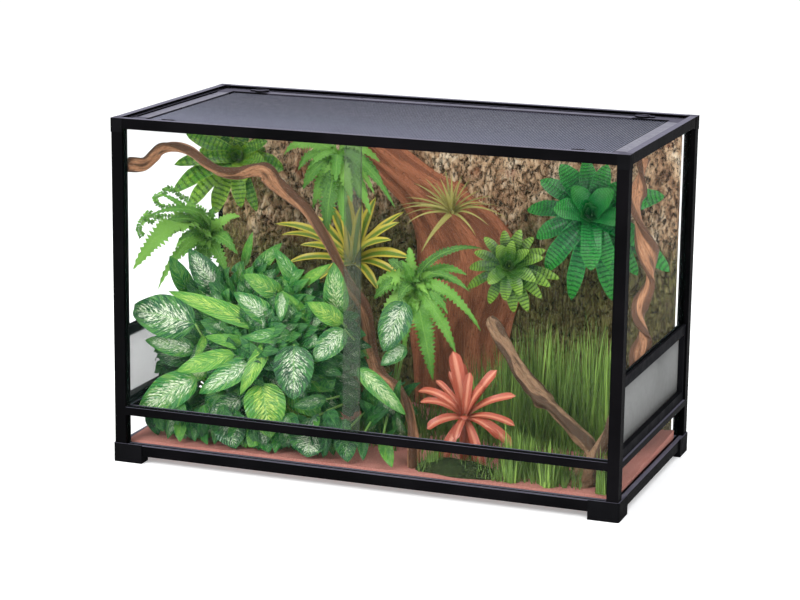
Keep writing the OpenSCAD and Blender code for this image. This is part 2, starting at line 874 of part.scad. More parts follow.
// Leaves in a spiral, the outer ones long and low, the inner ones short and steep
module rosette(count, length, width, low, steep, droop, core_r)
    union() {
        for (i = [0 : count - 1])
            let (share = i / (count - 1))
                rotate([0, 0, i * 137.5])
                    translate([core_r * 0.5, 0, 0])
                        arch_leaf(length * (1 - 0.45 * share), width * (1 - 0.2 * share),
                            low + (steep - low) * share, droop);
        translate([0, 0, -core_r])
            cylinder(h = 1.6 * core_r, r = core_r, $fn = 12);
    }

// A plant held off the bark by a peg: its crown is at place and faces the doors, nodding up by lean
module on_bark(place, lean = 15) {
    translate(place)
        rotate([90 - lean, 0, 0])
            children();
    translate(place)
        rotate([-90, 0, 0])
            cylinder(h = peg_y - place[1], r = peg_r, $fn = 12);
}

module root_ball(place, r = root_r)
    translate([place[0], place[1], pocket_z])
        cylinder(h = root_top(place) - pocket_z, r = r, $fn = 24);

function ground_at(y) =
    base_z + soil_front + (soil_back - soil_front) * (y + inner_y) / (ground_back + inner_y);
function root_top(place) = ground_at(place[1]) + 3;

// Leaves of the floor plant, as [from, to, width], each on a stalk from its own root ball
dief_roots = [[left_x + 148, front_y + 115], [-170, front_y + 120], [-38, 20]];
dief_left = [
    [[left_x + 104, front_y + 75, 238], [left_x + 12, front_y + 44, 260], 70],
    [[left_x + 100, front_y + 86, 188], [left_x + 18, front_y + 56, 206], 36],
    [[left_x + 112, front_y + 68, 144], [left_x + 18, front_y + 40, 84], 58],
    [[left_x + 124, front_y + 132, 282], [left_x + 82, front_y + 100, 362], 46],
    [[left_x + 66, front_y + 140, 274], [left_x + 40, front_y + 112, 346], 32],
    [[left_x + 226, front_y + 68, 190], [left_x + 128, front_y + 40, 124], 40],
    [[left_x + 184, front_y + 64, 194], [left_x + 88, front_y + 36, 162], 32],
    [[left_x + 168, front_y + 100, 232], [left_x + 134, front_y + 72, 240], 24],
    [[left_x + 218, front_y + 92, 204], [left_x + 130, front_y + 60, 222], 24],
    [[left_x + 194, front_y + 76, 116], [left_x + 146, front_y + 46, 86], 36],
    [[left_x + 86, front_y + 56, 76], [left_x + 96, front_y + 34, 42], 22],
    [[left_x + 174, front_y + 56, 86], [left_x + 198, front_y + 32, 42], 56],
    [[left_x + 232, front_y + 100, 236], [left_x + 60, front_y + 72, 290], 32]
];
dief_middle = [
    [[left_x + 160, front_y + 146, 328], [left_x + 190, front_y + 122, 396], 18],
    [[left_x + 180, front_y + 144, 314], [left_x + 246, front_y + 116, 382], 26],
    [[left_x + 284, front_y + 140, 290], [left_x + 236, front_y + 112, 376], 28],
    [[left_x + 248, front_y + 92, 252], [left_x + 184, front_y + 60, 304], 38],
    [[left_x + 262, front_y + 92, 308], [left_x + 272, front_y + 60, 262], 24],
    [[left_x + 252, front_y + 116, 290], [left_x + 192, front_y + 86, 332], 34],
    [[left_x + 278, front_y + 132, 308], [left_x + 348, front_y + 100, 360], 20],
    [[left_x + 352, front_y + 120, 268], [left_x + 356, front_y + 92, 364], 42],
    [[left_x + 290, front_y + 120, 268], [left_x + 312, front_y + 92, 218], 40],
    [[left_x + 376, front_y + 92, 250], [left_x + 332, front_y + 60, 198], 42],
    [[left_x + 296, front_y + 64, 222], [left_x + 308, front_y + 34, 136], 66],
    [[left_x + 248, front_y + 68, 224], [left_x + 206, front_y + 40, 132], 28],
    [[left_x + 288, front_y + 80, 234], [left_x + 208, front_y + 52, 230], 26],
    [[left_x + 366, front_y + 106, 258], [left_x + 314, front_y + 76, 296], 32],
    [[left_x + 310, front_y + 112, 252], [left_x + 264, front_y + 80, 310], 20],
    [[left_x + 230, front_y + 116, 234], [left_x + 302, front_y + 86, 274], 40],
    [[left_x + 236, front_y + 64, 148], [left_x + 264, front_y + 36, 64], 68],
    [[left_x + 348, front_y + 80, 128], [left_x + 300, front_y + 52, 116], 24],
    [[left_x + 352, front_y + 76, 110], [left_x + 382, front_y + 46, 88], 26],
    [[left_x + 330, front_y + 56, 90], [left_x + 336, front_y + 32, 42], 64],
    [[left_x + 392, front_y + 56, 84], [left_x + 406, front_y + 32, 42], 38],
    [[left_x + 460, front_y + 56, 80], [left_x + 484, front_y + 32, 42], 24],
    [[left_x + 398, front_y + 100, 182], [left_x + 480, front_y + 76, 124], 32]
];
// More leaves, in a spiral round the front half of a ball
fill_count = 34;
fill_centre = [left_x + 186, front_y + 107, 150];
dief_fill = [
    for (k = [0 : fill_count - 1])
        let (up = 0.95 - 1.6 * k / (fill_count - 1), out = sqrt(1 - up * up),
            across = out * cos(k * 137.5), ahead = -abs(out * sin(k * 137.5)),
            droop = 45 * (1 - abs(across)) * (1 - max(up, 0)))
            [
                fill_centre + [100 * across, 18 * ahead, 85 * up + 8],
                [
                    fill_centre[0] + 170 * across, fill_centre[1] + 34 * ahead,
                    max(fill_centre[2] + 165 * up - droop, base_z + soil_back)
                ],
                34 + 8 * (k % 3)
            ]
];
dief_right = [
    [[-40, 28, 272], [-8, -4, 196], 54],
    [[-36, 22, 228], [-16, -4, 186], 28],
    [[-60, 20, 150], [-4, 0, 90], 34]
];

module dief_plant(root, leaves) {
    top = [root[0], root[1], root_top(root) - 2];
    root_ball(root);
    for (leaf = leaves) {
        stalk(top, placed(leaf[0]));
        leaf_between(placed(leaf[0]), placed(leaf[1]), leaf[2], 55);
    }
}

module dieffenbachia()
    color("#4f9a4a") {
        dief_plant(dief_roots[0],
            concat(dief_left, [for (f = dief_fill) if (f[0][0] < fill_centre[0]) f]));
        dief_plant(dief_roots[1],
            concat(dief_middle, [for (f = dief_fill) if (f[0][0] >= fill_centre[0]) f]));
        dief_plant(dief_roots[2], dief_right);
    }

// Crowns of the plants that hang on the bark
corner_brom = placed([left_x + 88, 70, 492]);
banded_brom = placed([right_x - 138, 100, 435]);
small_brom = placed([161, 75, 338]);
yellow_brom = placed([-141, 112, 311]);
air_crown = placed([39, 122, 416]);
hanging_fern = placed([-152, 60, 512]);
middle_fern = placed([-6, 60, 287]);
side_fern = placed([left_x + 62, 0, 352]);
bark_plants = [corner_brom, banded_brom, small_brom, yellow_brom, air_crown, hanging_fern, middle_fern];

module green_bromeliads()
    color("#3f8f3a") {
        on_bark(corner_brom)
            rosette(13, 74, 34, 12, 60, 20, 10);
        on_bark(banded_brom)
            rosette(15, 92, 36, 12, 62, 20, 13);
        on_bark(small_brom)
            rosette(14, 68, 24, 12, 62, 20, 10);
    }

module yellow_bromeliad()
    color("#c9c23a")
        on_bark(yellow_brom, 25)
            rosette(11, 110, 18, 8, 45, 18, 9);

module air_plant()
    color("#a3a24a")
        on_bark(air_crown, 20)
            rosette(15, 88, 9, 6, 40, 14, 8);

coral_root = [150, front_y + 110];
module coral_bromeliad()
    color("#e0705a") {
        root_ball(coral_root);
        stalk([coral_root[0], coral_root[1], root_top(coral_root) - 2],
            [coral_root[0], coral_root[1], 118], 9);
        translate([coral_root[0], coral_root[1], 116])
            rosette(12, 78, 17, 10, 72, 45, 7);
    }

// Fronds that spread from a crown, as [turn, rise, droop, length]
module fern(fronds, width, core_r) {
    for (f = fronds)
        rotate([0, 0, f[0]])
            arch_leaf(f[3], width, f[1], f[2]);
    translate([0, 0, -core_r])
        cylinder(h = 1.5 * core_r, r = core_r, $fn = 12);
}

middle_fronds = [for (i = [0 : 9]) [i * 36 + 8, 22 + 8 * (i % 2), 30, 92 - 8 * (i % 3)]];
side_fronds = [[150, 30, 60, 70], [200, 20, 40, 60], [255, 35, 50, 100], [300, 25, 45, 95],
    [345, 30, 50, 85], [30, 40, 50, 70], [80, 45, 45, 60]];
hanging_fronds = [[200, 15, 20, 100], [228, 12, 15, 160], [262, 10, 12, 170], [292, 10, 12, 165],
    [322, 14, 18, 130], [350, 20, 20, 90], [30, 30, 25, 60]];

module ferns()
    color("#59a843") {
        on_bark(middle_fern, 10)
            fern(middle_fronds, 17, 9);
        on_bark(hanging_fern, 0)
            fern(hanging_fronds, 18, 10);
        translate(side_fern)
            fern(side_fronds, 17, 9);
        translate([left_x, side_fern[1], side_fern[2] - 3])
            rotate([0, 90, 0]) {
                cylinder(h = 3, r = 14, $fn = 24);
                cylinder(h = side_fern[0] - left_x, r = peg_r, $fn = 12);
            }
    }

// Clumps of reeds, as [x, y, height, how far their tips spread]
reed_clumps = [
    [right_x - 180, front_y + 43, 105, 26], [right_x - 118, front_y + 42, 85, 24],
    [right_x - 25, front_y + 40, 80, 11], [118, front_y + 50, 58, 18],
    [right_x - 176, front_y + 105, 75, 24], [140, 28, 150, 34],
    [right_x - 248, 22, 205, 40], [right_x - 203, 30, 235, 44],
    [right_x - 155, 24, 225, 42], [right_x - 108, 30, 240, 40],
    [right_x - 76, 18, 215, 18]
];
reed_blades = 24;
reed_roots = [for (c = reed_clumps) [c[0], c[1]]];
reed_r = 14;

// A thin three-sided blade from foot to tip
module reed_blade(foot, tip, r)
    polyhedron(
        points = [foot + [r, 0, 0], foot + r * [-0.5, 0.87, 0], foot + r * [-0.5, -0.87, 0], tip],
        faces = [[0, 1, 2], [0, 3, 1], [1, 3, 2], [2, 3, 0]]);

module reeds()
    color("#4d7f35")
        for (c = reed_clumps) {
            root_ball([c[0], c[1]], reed_r);
            for (k = [0 : reed_blades - 1])
                let (a = k * 137.5, out = sqrt((k + 0.5) / reed_blades),
                    base = [c[0], c[1], root_top([c[0], c[1]]) - 1],
                    tall = c[2] * (1 - 0.055 * ((k * 7) % 10)))
                    reed_blade(base + 11 * out * [cos(a), sin(a), 0],
                        base + [c[3] * out * cos(a), 15 * out * sin(a), tall], 2.2);
        }

// ---------- bark and ground ----------

flute_pitch = 22;
flute_count = floor((span_w - 2) / flute_pitch);
relief_z = base_z + soil_back + seat;
module bark_panel() {
    half = span_w / 2 - 0.4;
    step = 2 * half / (2 * flute_count);
    color("#8b7355")
        difference() {
            union() {
                translate([-half, bark_y, floor_top])
                    cube([2 * half, bark_back_t, bark_top - floor_top]);
                translate([0, 0, relief_z])
                    linear_extrude(height = bark_top - relief_z)
                        polygon(concat(
                            [[half, bark_y + 0.01], [-half, bark_y + 0.01]],
                            [for (i = [0 : 2 * flute_count])
                                [-half + i * step, flute_y + (i % 2 == 0 ? 5 : 0)]]));
                intersection() {
                    trunk_relief(trunk_path, trunk_widths, trunk_depths);
                    translate([-half_w, 0, relief_z])
                        cube([frame_w, half_d, overall_h]);
                }
            }
            for (p = bark_plants)
                translate([p[0], peg_y, p[2]])
                    rotate([90, 0, 0])
                        cylinder(h = 100, r = peg_r + root_gap, $fn = bore_fn);
        }
}

pockets = concat(
    [for (p = dief_roots) [p[0], p[1], root_r]],
    [[coral_root[0], coral_root[1], root_r]],
    [for (p = reed_roots) [p[0], p[1], reed_r]],
    [[liana_foot[0], liana_foot[1], 17], [stump[0], stump[1], 30], [vine_foot[0], vine_foot[1], 13]]
);

module ground_profile_2d()
    polygon([
        [-inner_y + seat, base_top + seat], [-inner_y + seat, base_z + soil_front],
        [ground_back, base_z + soil_back], [ground_back, floor_top], [-span_d / 2 + reveal, floor_top],
        [-span_d / 2 + reveal, base_top + seat]
    ]);

module ground()
    color("#d08c7c")
        difference() {
            intersection() {
                translate([-inner_x + seat, 0, 0])
                    rotate([90, 0, 90])
                        linear_extrude(height = 2 * (inner_x - seat))
                            ground_profile_2d();
                union() {
                    translate([-span_w / 2 + reveal, -inner_y, 0])
                        cube([span_w - 2 * reveal, 2 * inner_y, 200]);
                    translate([-inner_x, -span_d / 2 + reveal, base_top + seat])
                        cube([2 * inner_x, span_d - 2 * reveal, 200]);
                }
            }
            for (p = pockets)
                translate([p[0], p[1], pocket_z])
                    cylinder(h = 100, r = p[2] + root_gap, $fn = bore_fn);
        }

// ---------- the object ----------

module right_side()
    mirror([1, 0, 0])
        children();
module back_side()
    mirror([0, 1, 0])
        children();

base_rail_front();  // front_base_rail
back_side() base_rail_front();  // back_base_rail
base_rail_left();  // left_base_rail
right_side() base_rail_left();  // right_base_rail
at_corners([[0, 0]]) post();  // front_left_post
at_corners([[1, 0]]) post();  // front_right_post
at_corners([[0, 1]]) post();  // back_left_post
at_corners([[1, 1]]) post();  // back_right_post
top_rail_front();  // front_top_rail
top_rail_back();  // back_top_rail
top_rail_left();  // left_top_rail
right_side() top_rail_left();  // right_top_rail
top_corner_blocks();
at_corners([[0, 0]]) foot();  // front_left_foot
at_corners([[1, 0]]) foot();  // front_right_foot
at_corners([[0, 1]]) foot();  // back_left_foot
at_corners([[1, 1]]) foot();  // back_right_foot
foot_screws();
sill_rail();
lower_door_track();
upper_door_track();
mid_rail();  // left_mid_rail
right_side() mid_rail();  // right_mid_rail
floor_pane();
back_side() front_pane(pane_foot, top_z + pane_bite);  // back_pane
front_pane(pane_foot, sill_z + 3);  // front_strip_pane
upper_pane_left();  // left_upper_pane
right_side() upper_pane_left();  // right_upper_pane
strip_pane_left();  // left_strip_pane
right_side() strip_pane_left();  // right_strip_pane
vent_frame();  // left_vent_frame
right_side() vent_frame();  // right_vent_frame
vent_screen();  // left_vent_screen
right_side() vent_screen();  // right_vent_screen
door(-door_edge, left_door_right - seal_t, front_groove);  // left_door
door(right_door_left, door_edge, rear_groove);  // right_door
door_seal();
lid_rail_front();  // lid_front_rail
back_side() lid_rail_front();  // lid_back_rail
lid_rail_left();  // lid_left_rail
right_side() lid_rail_left();  // lid_right_rail
lid_corners();
lid_screen();
screen_beading();
at_corners([[0, 0]]) latch();  // front_left_latch
at_corners([[1, 0]]) latch();  // front_right_latch
at_corners([[0, 1]]) latch();  // back_left_latch
at_corners([[1, 1]]) latch();  // back_right_latch
bark_panel();
ground();
liana();
branches();
dieffenbachia();
green_bromeliads();
yellow_bromeliad();
coral_bromeliad();
air_plant();
ferns();
reeds();
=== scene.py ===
import math

import bpy
import numpy as np
from mathutils import Matrix, Vector, noise


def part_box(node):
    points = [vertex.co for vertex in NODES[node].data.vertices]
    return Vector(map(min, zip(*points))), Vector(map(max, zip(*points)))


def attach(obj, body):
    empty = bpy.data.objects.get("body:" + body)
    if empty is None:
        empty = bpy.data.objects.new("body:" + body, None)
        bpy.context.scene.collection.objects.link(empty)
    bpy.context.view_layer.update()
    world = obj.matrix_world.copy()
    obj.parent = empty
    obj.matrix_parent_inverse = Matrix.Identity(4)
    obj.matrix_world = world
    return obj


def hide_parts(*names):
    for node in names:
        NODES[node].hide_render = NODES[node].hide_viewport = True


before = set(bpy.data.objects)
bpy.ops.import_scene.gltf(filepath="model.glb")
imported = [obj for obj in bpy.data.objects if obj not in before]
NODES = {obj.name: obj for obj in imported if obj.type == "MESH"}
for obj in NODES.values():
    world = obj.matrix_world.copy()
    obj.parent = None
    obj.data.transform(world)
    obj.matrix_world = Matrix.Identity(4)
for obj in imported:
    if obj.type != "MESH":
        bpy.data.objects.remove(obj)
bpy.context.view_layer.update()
RNG = np.random.default_rng(11)

# ---------- the camera, and places seen through it ----------

EYE = np.array([1433.6, -3904.6, 1238.3])
YAW, PITCH, ROLL = math.radians(-20.311), math.radians(12.985), math.radians(0.725)
FOCAL_PX = 2467.3
PHOTO_W, PHOTO_H, SENSOR_MM = 800, 600, 36


def camera_axes():
    ahead = np.array([math.sin(YAW) * math.cos(PITCH), math.cos(YAW) * math.cos(PITCH), -math.sin(PITCH)])
    level = np.cross(ahead, [0, 0, 1])
    level /= np.linalg.norm(level)
    over = np.cross(level, ahead)
    right = level * math.cos(ROLL) + over * math.sin(ROLL)
    up = over * math.cos(ROLL) - level * math.sin(ROLL)
    return right, up, ahead


RIGHT, UP, AHEAD = camera_axes()


def seen(px, py, y):
    """The point at depth y that the photograph shows at pixel (px, py)."""
    ray = AHEAD + RIGHT * (px - PHOTO_W / 2) / FOCAL_PX - UP * (py - PHOTO_H / 2) / FOCAL_PX
    return EYE + ray * (y - EYE[1]) / ray[1]


def make_camera():
    data = bpy.data.cameras.new("camera")
    data.sensor_width = SENSOR_MM
    data.lens = FOCAL_PX * SENSOR_MM / PHOTO_W
    data.clip_start, data.clip_end = 0.1, 200
    data.dof.use_dof = False
    obj = bpy.data.objects.new("camera", data)
    m = Matrix.Identity(4)
    for row in range(3):
        m[row] = RIGHT[row], UP[row], -AHEAD[row], EYE[row] / 1000
    obj.matrix_world = m
    bpy.context.scene.collection.objects.link(obj)
    bpy.context.scene.camera = obj


# ---------- meshes ----------


def unit(v):
    v = np.asarray(v, float)
    return v / np.maximum(np.linalg.norm(v, axis=-1, keepdims=True), 1e-9)


class Skin:
    """Gathers grids of points into one mesh. Each point keeps its place (along, across, kind) and a shade."""

    def __init__(self):
        self.points, self.faces, self.place, self.shade = [], [], [], []
        self.count = 0

    def grid(self, points, along, across, shade=0.5, kind=0.0):
        rows, cols = points.shape[:2]
        i = self.count + np.arange(rows * cols).reshape(rows, cols)
        quads = np.stack([i[:-1, :-1], i[:-1, 1:], i[1:, 1:], i[1:, :-1]], -1).reshape(-1, 4)
        self.points.append(points.reshape(-1, 3))
        self.faces.append(quads)
        place = np.zeros((rows, cols, 3))
        place[..., 0] = np.reshape(along, (rows, -1))
        place[..., 1] = across
        place[..., 2] = kind
        self.place.append(place.reshape(-1, 3))
        self.shade.append(np.broadcast_to(np.reshape(shade, (-1, 1)) if np.ndim(shade) == 1 else shade,
                                          (rows, cols)).reshape(-1))
        self.count += rows * cols

    def rings(self, path, points, a, shade):
        """Rings of points round path, at the angles a, closed at both ends."""
        ends = [path[i, None, None].repeat(len(a), 1) for i in (0, -1)]
        along = np.concatenate([[0], np.linspace(0, 1, len(path)), [1]])
        self.grid(np.concatenate([ends[0], points, ends[1]]), along, a / math.tau, shade)

    def tube(self, path, radius, sides, shade):
        """A round bar along path, with closed ends."""
        path = np.asarray(path, float)
        go = unit(np.gradient(path, axis=0))
        side = unit(np.cross(go, [0, 0, 1] if abs(go[0][2]) < 0.9 else [1, 0, 0]))
        top = np.cross(side, go)
        a = np.linspace(0, math.tau, sides + 1)
        ring = side[:, None] * np.cos(a)[:, None] + top[:, None] * np.sin(a)[:, None]
        self.rings(path, path[:, None] + ring * np.broadcast_to(radius, len(path))[:, None, None], a, shade)

    def object(self, name, material, slot, body="enclosure", replaced=()):
        mesh = bpy.data.meshes.new(name)
        points = np.concatenate(self.points) / 1000
        faces = np.concatenate(self.faces)
        mesh.vertices.add(len(points))
        mesh.vertices.foreach_set("co", points.astype(np.float32).ravel())
        mesh.loops.add(faces.size)
        mesh.loops.foreach_set("vertex_index", faces.astype(np.int32).ravel())
        mesh.polygons.add(len(faces))
        mesh.polygons.foreach_set("loop_start", np.arange(0, faces.size, 4, dtype=np.int32))
        mesh.polygons.foreach_set("use_smooth", np.ones(len(faces), bool))
        mesh.attributes.new("place", "FLOAT_VECTOR", "POINT").data.foreach_set(
            "vector", np.concatenate(self.place).astype(np.float32).ravel())
        mesh.attributes.new("shade", "FLOAT", "POINT").data.foreach_set(
            "value", np.concatenate(self.shade).astype(np.float32).ravel())
        mesh.update(calc_edges=True)
        mesh.validate()
        mesh.materials.append(material)
        obj = bpy.data.objects.new(name, mesh)
        bpy.context.scene.collection.objects.link(obj)
        if body:
            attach(obj, body)
        if replaced:
            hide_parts(*replaced)
        return obj


def smooth_path(points, steps=8):
    """A Catmull-Rom curve through the points, with any further columns carried along."""
    p = np.asarray(points, float)
    p = np.concatenate([2 * p[:1] - p[1:2], p, 2 * p[-1:] - p[-2:-1]])
    out = []
    for i in range(1, len(p) - 2):
        for t in np.arange(steps) / steps:
            a, b, c, d = p[i - 1 : i + 3]
            out.append(0.5 * (2 * b + (c - a) * t + (2 * a - 5 * b + 4 * c - d) * t**2
                              + (3 * b - a - 3 * c + d) * t**3))
    out.append(p[-2])
    return np.array(out)


# ---------- materials ----------


class Paint:
    """A Principled material with short ways to add nodes."""

    def __init__(self, name, rough=0.5, specular=0.5, colour=(0.5, 0.5, 0.5), **sockets):
        self.mat = bpy.data.materials.new(name)
        self.mat.use_nodes = True
        self.nodes, self.links = self.mat.node_tree.nodes, self.mat.node_tree.links
        self.shader = self.nodes["Principled BSDF"]
        self.shader.inputs["Roughness"].default_value = rough
        self.shader.inputs["Specular IOR Level"].default_value = specular
        self.shader.inputs["Base Color"].default_value = (*colour, 1)
        for key, value in sockets.items():
            self.shader.inputs[key.replace("_", " ")].default_value = value

    def node(self, kind, **settings):
        n = self.nodes.new(kind)
        for key, value in settings.items():
            setattr(n, key, value)
        return n

    def put(self, socket, value):
        if isinstance(value, bpy.types.NodeSocket):
            self.links.new(value, socket)
        elif isinstance(value, (tuple, list)) and len(value) == 3 and socket.type == "RGBA":
            socket.default_value = (*value, 1)
        else:
            socket.default_value = value

    def part(self, vector, index):
        """One of the three numbers of a vector."""
        n = self.node("ShaderNodeSeparateXYZ")
        self.links.new(vector, n.inputs[0])
        return n.outputs[index]

    def point(self, *parts):
        """A vector of three numbers."""
        n = self.node("ShaderNodeCombineXYZ")
        for socket, value in zip(n.inputs, parts):
            self.put(socket, value)
        return n.outputs[0]

    def place(self, index):
        """How far along (0) or across (1) its own leaf or branch the point is, or its kind (2)."""
        return self.part(self.node("ShaderNodeAttribute", attribute_name="place").outputs["Vector"], index)

    def away(self):
        """0 on the midrib and 1 at the margin."""
        return self.math("ABSOLUTE", self.place(1))

    def shade(self):
        return self.node("ShaderNodeAttribute", attribute_name="shade").outputs["Fac"]

    def where(self, scale=(1, 1, 1)):
        """Object coordinates in metres, stretched."""
        m = self.node("ShaderNodeMapping")
        self.links.new(self.node("ShaderNodeTexCoord").outputs["Object"], m.inputs["Vector"])
        m.inputs["Scale"].default_value = scale
        return m.outputs["Vector"]

    def leaf_plane(self, along, across, jump=17.0):
        """The place on the leaf as a plane for textures, moved on by the leaf's own shade."""
        return self.point(self.times(self.place(0), along), self.times(self.place(1), across),
                          self.times(self.shade(), jump))

    def math(self, op, a, b=0.0, c=0.0, clamp=False):
        n = self.node("ShaderNodeMath", operation=op, use_clamp=clamp)
        for socket, value in zip(n.inputs, (a, b, c)):
            self.put(socket, value)
        return n.outputs[0]

    def times(self, a, b):
        return self.math("MULTIPLY", a, b)

    def noise(self, scale, vector=None, detail=4.0, rough=0.55, warp=0.0):
        n = self.node("ShaderNodeTexNoise")
        n.inputs["Scale"].default_value = scale
        n.inputs["Detail"].default_value = detail
        n.inputs["Roughness"].default_value = rough
        n.inputs["Distortion"].default_value = warp
        self.links.new(vector or self.where(), n.inputs["Vector"])
        return n.outputs["Fac"]

    def ramp(self, fac, stops):
        n = self.node("ShaderNodeValToRGB")
        self.put(n.inputs["Fac"], fac)
        while len(n.color_ramp.elements) < len(stops):
            n.color_ramp.elements.new(0.5)
        for element, (at, colour) in zip(n.color_ramp.elements, stops):
            element.position = at
            element.color = (*colour, 1)
        return n.outputs["Color"]

    def step(self, x, low, high, to_low=0.0, to_high=1.0):
        n = self.node("ShaderNodeMapRange", interpolation_type="SMOOTHSTEP")
        for socket, value in zip(n.inputs, (x, low, high, to_low, to_high)):
            self.put(socket, value)
        return n.outputs["Result"]

    def mix(self, fac, a, b):
        n = self.node("ShaderNodeMix", data_type="RGBA")
        for index, value in ((0, fac), (6, a), (7, b)):
            self.put(n.inputs[index], value)
        return n.outputs[2]

    def over(self, colour, top, x, low, high, at_low=0.0, at_high=1.0):
        """The colour with top laid over it, as much as a smooth step of x says."""
        return self.mix(self.step(x, low, high, at_low, at_high), colour, top)

    def bump(self, height, strength, distance):
        n = self.node("ShaderNodeBump")
        n.inputs["Strength"].default_value = strength
        n.inputs["Distance"].default_value = distance
        self.links.new(height, n.inputs["Height"])
        self.links.new(n.outputs["Normal"], self.shader.inputs["Normal"])

    def top_reflection(self, colour, top):
        """Colours the shader, with top as a painted reflection on the faces that look up, where top is given."""
        if top:
            up = self.part(self.node("ShaderNodeNewGeometry").outputs["Normal"], 2)
            colour = self.mix(self.times(self.step(up, 0.6, 0.95), 0.8), colour, top)
        self.colour(colour)

    def colour(self, socket):
        self.links.new(socket, self.shader.inputs["Base Color"])

    def rough(self, fac, low, high):
        self.links.new(self.step(fac, 0.3, 0.7, low, high), self.shader.inputs["Roughness"])


def rgb(r, g, b):
    """A screen colour, 0 to 255, as light."""
    return tuple((c / 255 / 12.92) if c <= 10 else ((c / 255 + 0.055) / 1.055) ** 2.4 for c in (r, g, b))


def satin_metal(name, dark, light, top, specular, low=0.2, high=0.3, ior=1.5):
    p = Paint(name, specular=specular, IOR=ior)
    # top is a painted reflection, laid on the faces that look up.
    p.top_reflection(p.over(dark, light, p.noise(6, detail=3), 0.35, 0.7), top)
    p.rough(p.noise(40, detail=2), low, high)
    p.bump(p.noise(1400, detail=2), 0.12, 0.0003)
    return p.mat


def moulded_plastic(name, dark, light, top=None):
    p = Paint(name, IOR=1.03)
    # top is a painted reflection, laid on the faces that look up.
    p.top_reflection(p.mix(p.noise(25, detail=3), dark, light), top)
    p.rough(p.noise(60, detail=2), 0.42, 0.58)
    p.bump(p.noise(900, detail=3), 0.25, 0.0004)
    return p.mat


def clear_glass():
    p = Paint("clear_glass", specular=0.5, Alpha=0.03)
    p.colour(p.mix(p.noise(3, detail=2), rgb(30, 60, 50), rgb(44, 72, 62)))
    p.rough(p.noise(8, detail=3), 0.02, 0.06)
    return p.mat


def strip_plastic():
    p = Paint("strip_plastic", specular=0.4, Alpha=0.26)
    p.colour(p.mix(p.noise(14, p.where((8, 8, 1)), 3), rgb(46, 58, 44), rgb(84, 96, 78)))
    p.rough(p.noise(30, detail=3), 0.25, 0.45)
    return p.mat


def wire_metal(name, dark, light):
    """Dark as painted shade on the wires below, and light as a painted highlight on those that cross them."""
    p = Paint(name, specular=0.4, Metallic=0.2)
    p.colour(p.mix(p.math("MULTIPLY_ADD", p.noise(300, detail=2), 0.3, p.shade(), clamp=True), dark, light))
    p.rough(p.noise(90, detail=2), 0.35, 0.55)
    return p.mat


def screw_steel():
    p = Paint("screw_steel", specular=0.5, Metallic=1.0)
    p.colour(p.mix(p.noise(200, detail=3), rgb(120, 122, 125), rgb(180, 182, 186)))
    p.rough(p.noise(400, detail=2), 0.25, 0.45)
    return p.mat


def bark_material():
    """Plated bark, tan above and mossy below, dark in its cracks."""
    p = Paint("bark_plates", specular=0.15)
    tall = p.where((1, 1, 0.5))
    grain = p.noise(150, tall, 8, 0.7)
    plate = p.ramp(p.noise(34, tall, 7, 0.68, 0.8), (
        (0.34, rgb(92, 64, 46)), (0.44, rgb(164, 128, 96)), (0.54, rgb(212, 180, 144)), (0.66, rgb(242, 224, 196))))
    plate = p.over(plate, rgb(40, 28, 22), grain, 0.4, 0.53, 0.92, 0.0)
    plate = p.over(plate, rgb(150, 84, 56), p.noise(16, detail=5), 0.58, 0.7, 0.0, 0.5)
    moss = p.ramp(p.noise(260, p.where((1, 1, 0.16)), 5, 0.7), (
        (0.36, rgb(34, 30, 18)), (0.48, rgb(78, 72, 40)), (0.58, rgb(104, 106, 54)), (0.72, rgb(160, 142, 104))))
    height = p.math("ADD", p.part(p.where(), 2), p.times(p.noise(9, detail=4), 0.3))
    plate = p.over(plate, moss, height, 0.47, 0.6, 0.92, 0.0)
    p.colour(p.over(plate, rgb(34, 25, 19), p.shade(), 0.0, 0.42, 0.95, 0.0))
    p.rough(grain, 0.8, 0.95)
    p.bump(grain, 0.9, 0.002)
    return p.mat


def wood_material(name, deep, mid, pale, fleck, streak, fibres=8.0, groove=0.9):
    """Grooved driftwood: the shade is low in the grooves and high on the ridges."""
    p = Paint(name, specular=0.25)
    grain = p.noise(3.2, p.leaf_plane(22 * streak, fibres, 0.0), 9, 0.7, 0.5)
    colour = p.ramp(grain, ((0.28, deep), (0.46, mid), (0.62, pale), (0.78, fleck)))
    colour = p.over(colour, deep, p.shade(), 0.15, 0.55, groove, 0.0)
    colour = p.mix(p.times(p.noise(30, detail=5), 0.35), colour, mid)
    p.colour(p.over(colour, deep, p.noise(260, detail=4, rough=0.7), 0.36, 0.46, 0.55, 0.0))
    p.rough(grain, 0.6, 0.85)
    p.bump(p.noise(240, detail=6, rough=0.7), 0.5, 0.0012)
    return p.mat


def soil_material():
    p = Paint("terracotta_soil", specular=0.15)
    grit = p.noise(420, detail=5, rough=0.7)
    base = p.mix(p.noise(18, detail=5), rgb(176, 112, 100), rgb(204, 144, 132))
    p.colour(p.over(p.mix(0.45, base, rgb(112, 66, 58)), base, grit, 0.42, 0.6))
    p.rough(grit, 0.85, 0.98)
    p.bump(grit, 0.5, 0.0012)
    return p.mat


def moss_material():
    p = Paint("dark_moss", specular=0.1)
    tuft = p.noise(320, detail=6, rough=0.75)
    p.colour(p.ramp(tuft, ((0.36, rgb(16, 20, 12)), (0.5, rgb(40, 50, 28)), (0.64, rgb(84, 96, 56)))))
    p.rough(tuft, 0.8, 0.95)
    p.bump(tuft, 0.9, 0.003)
    return p.mat


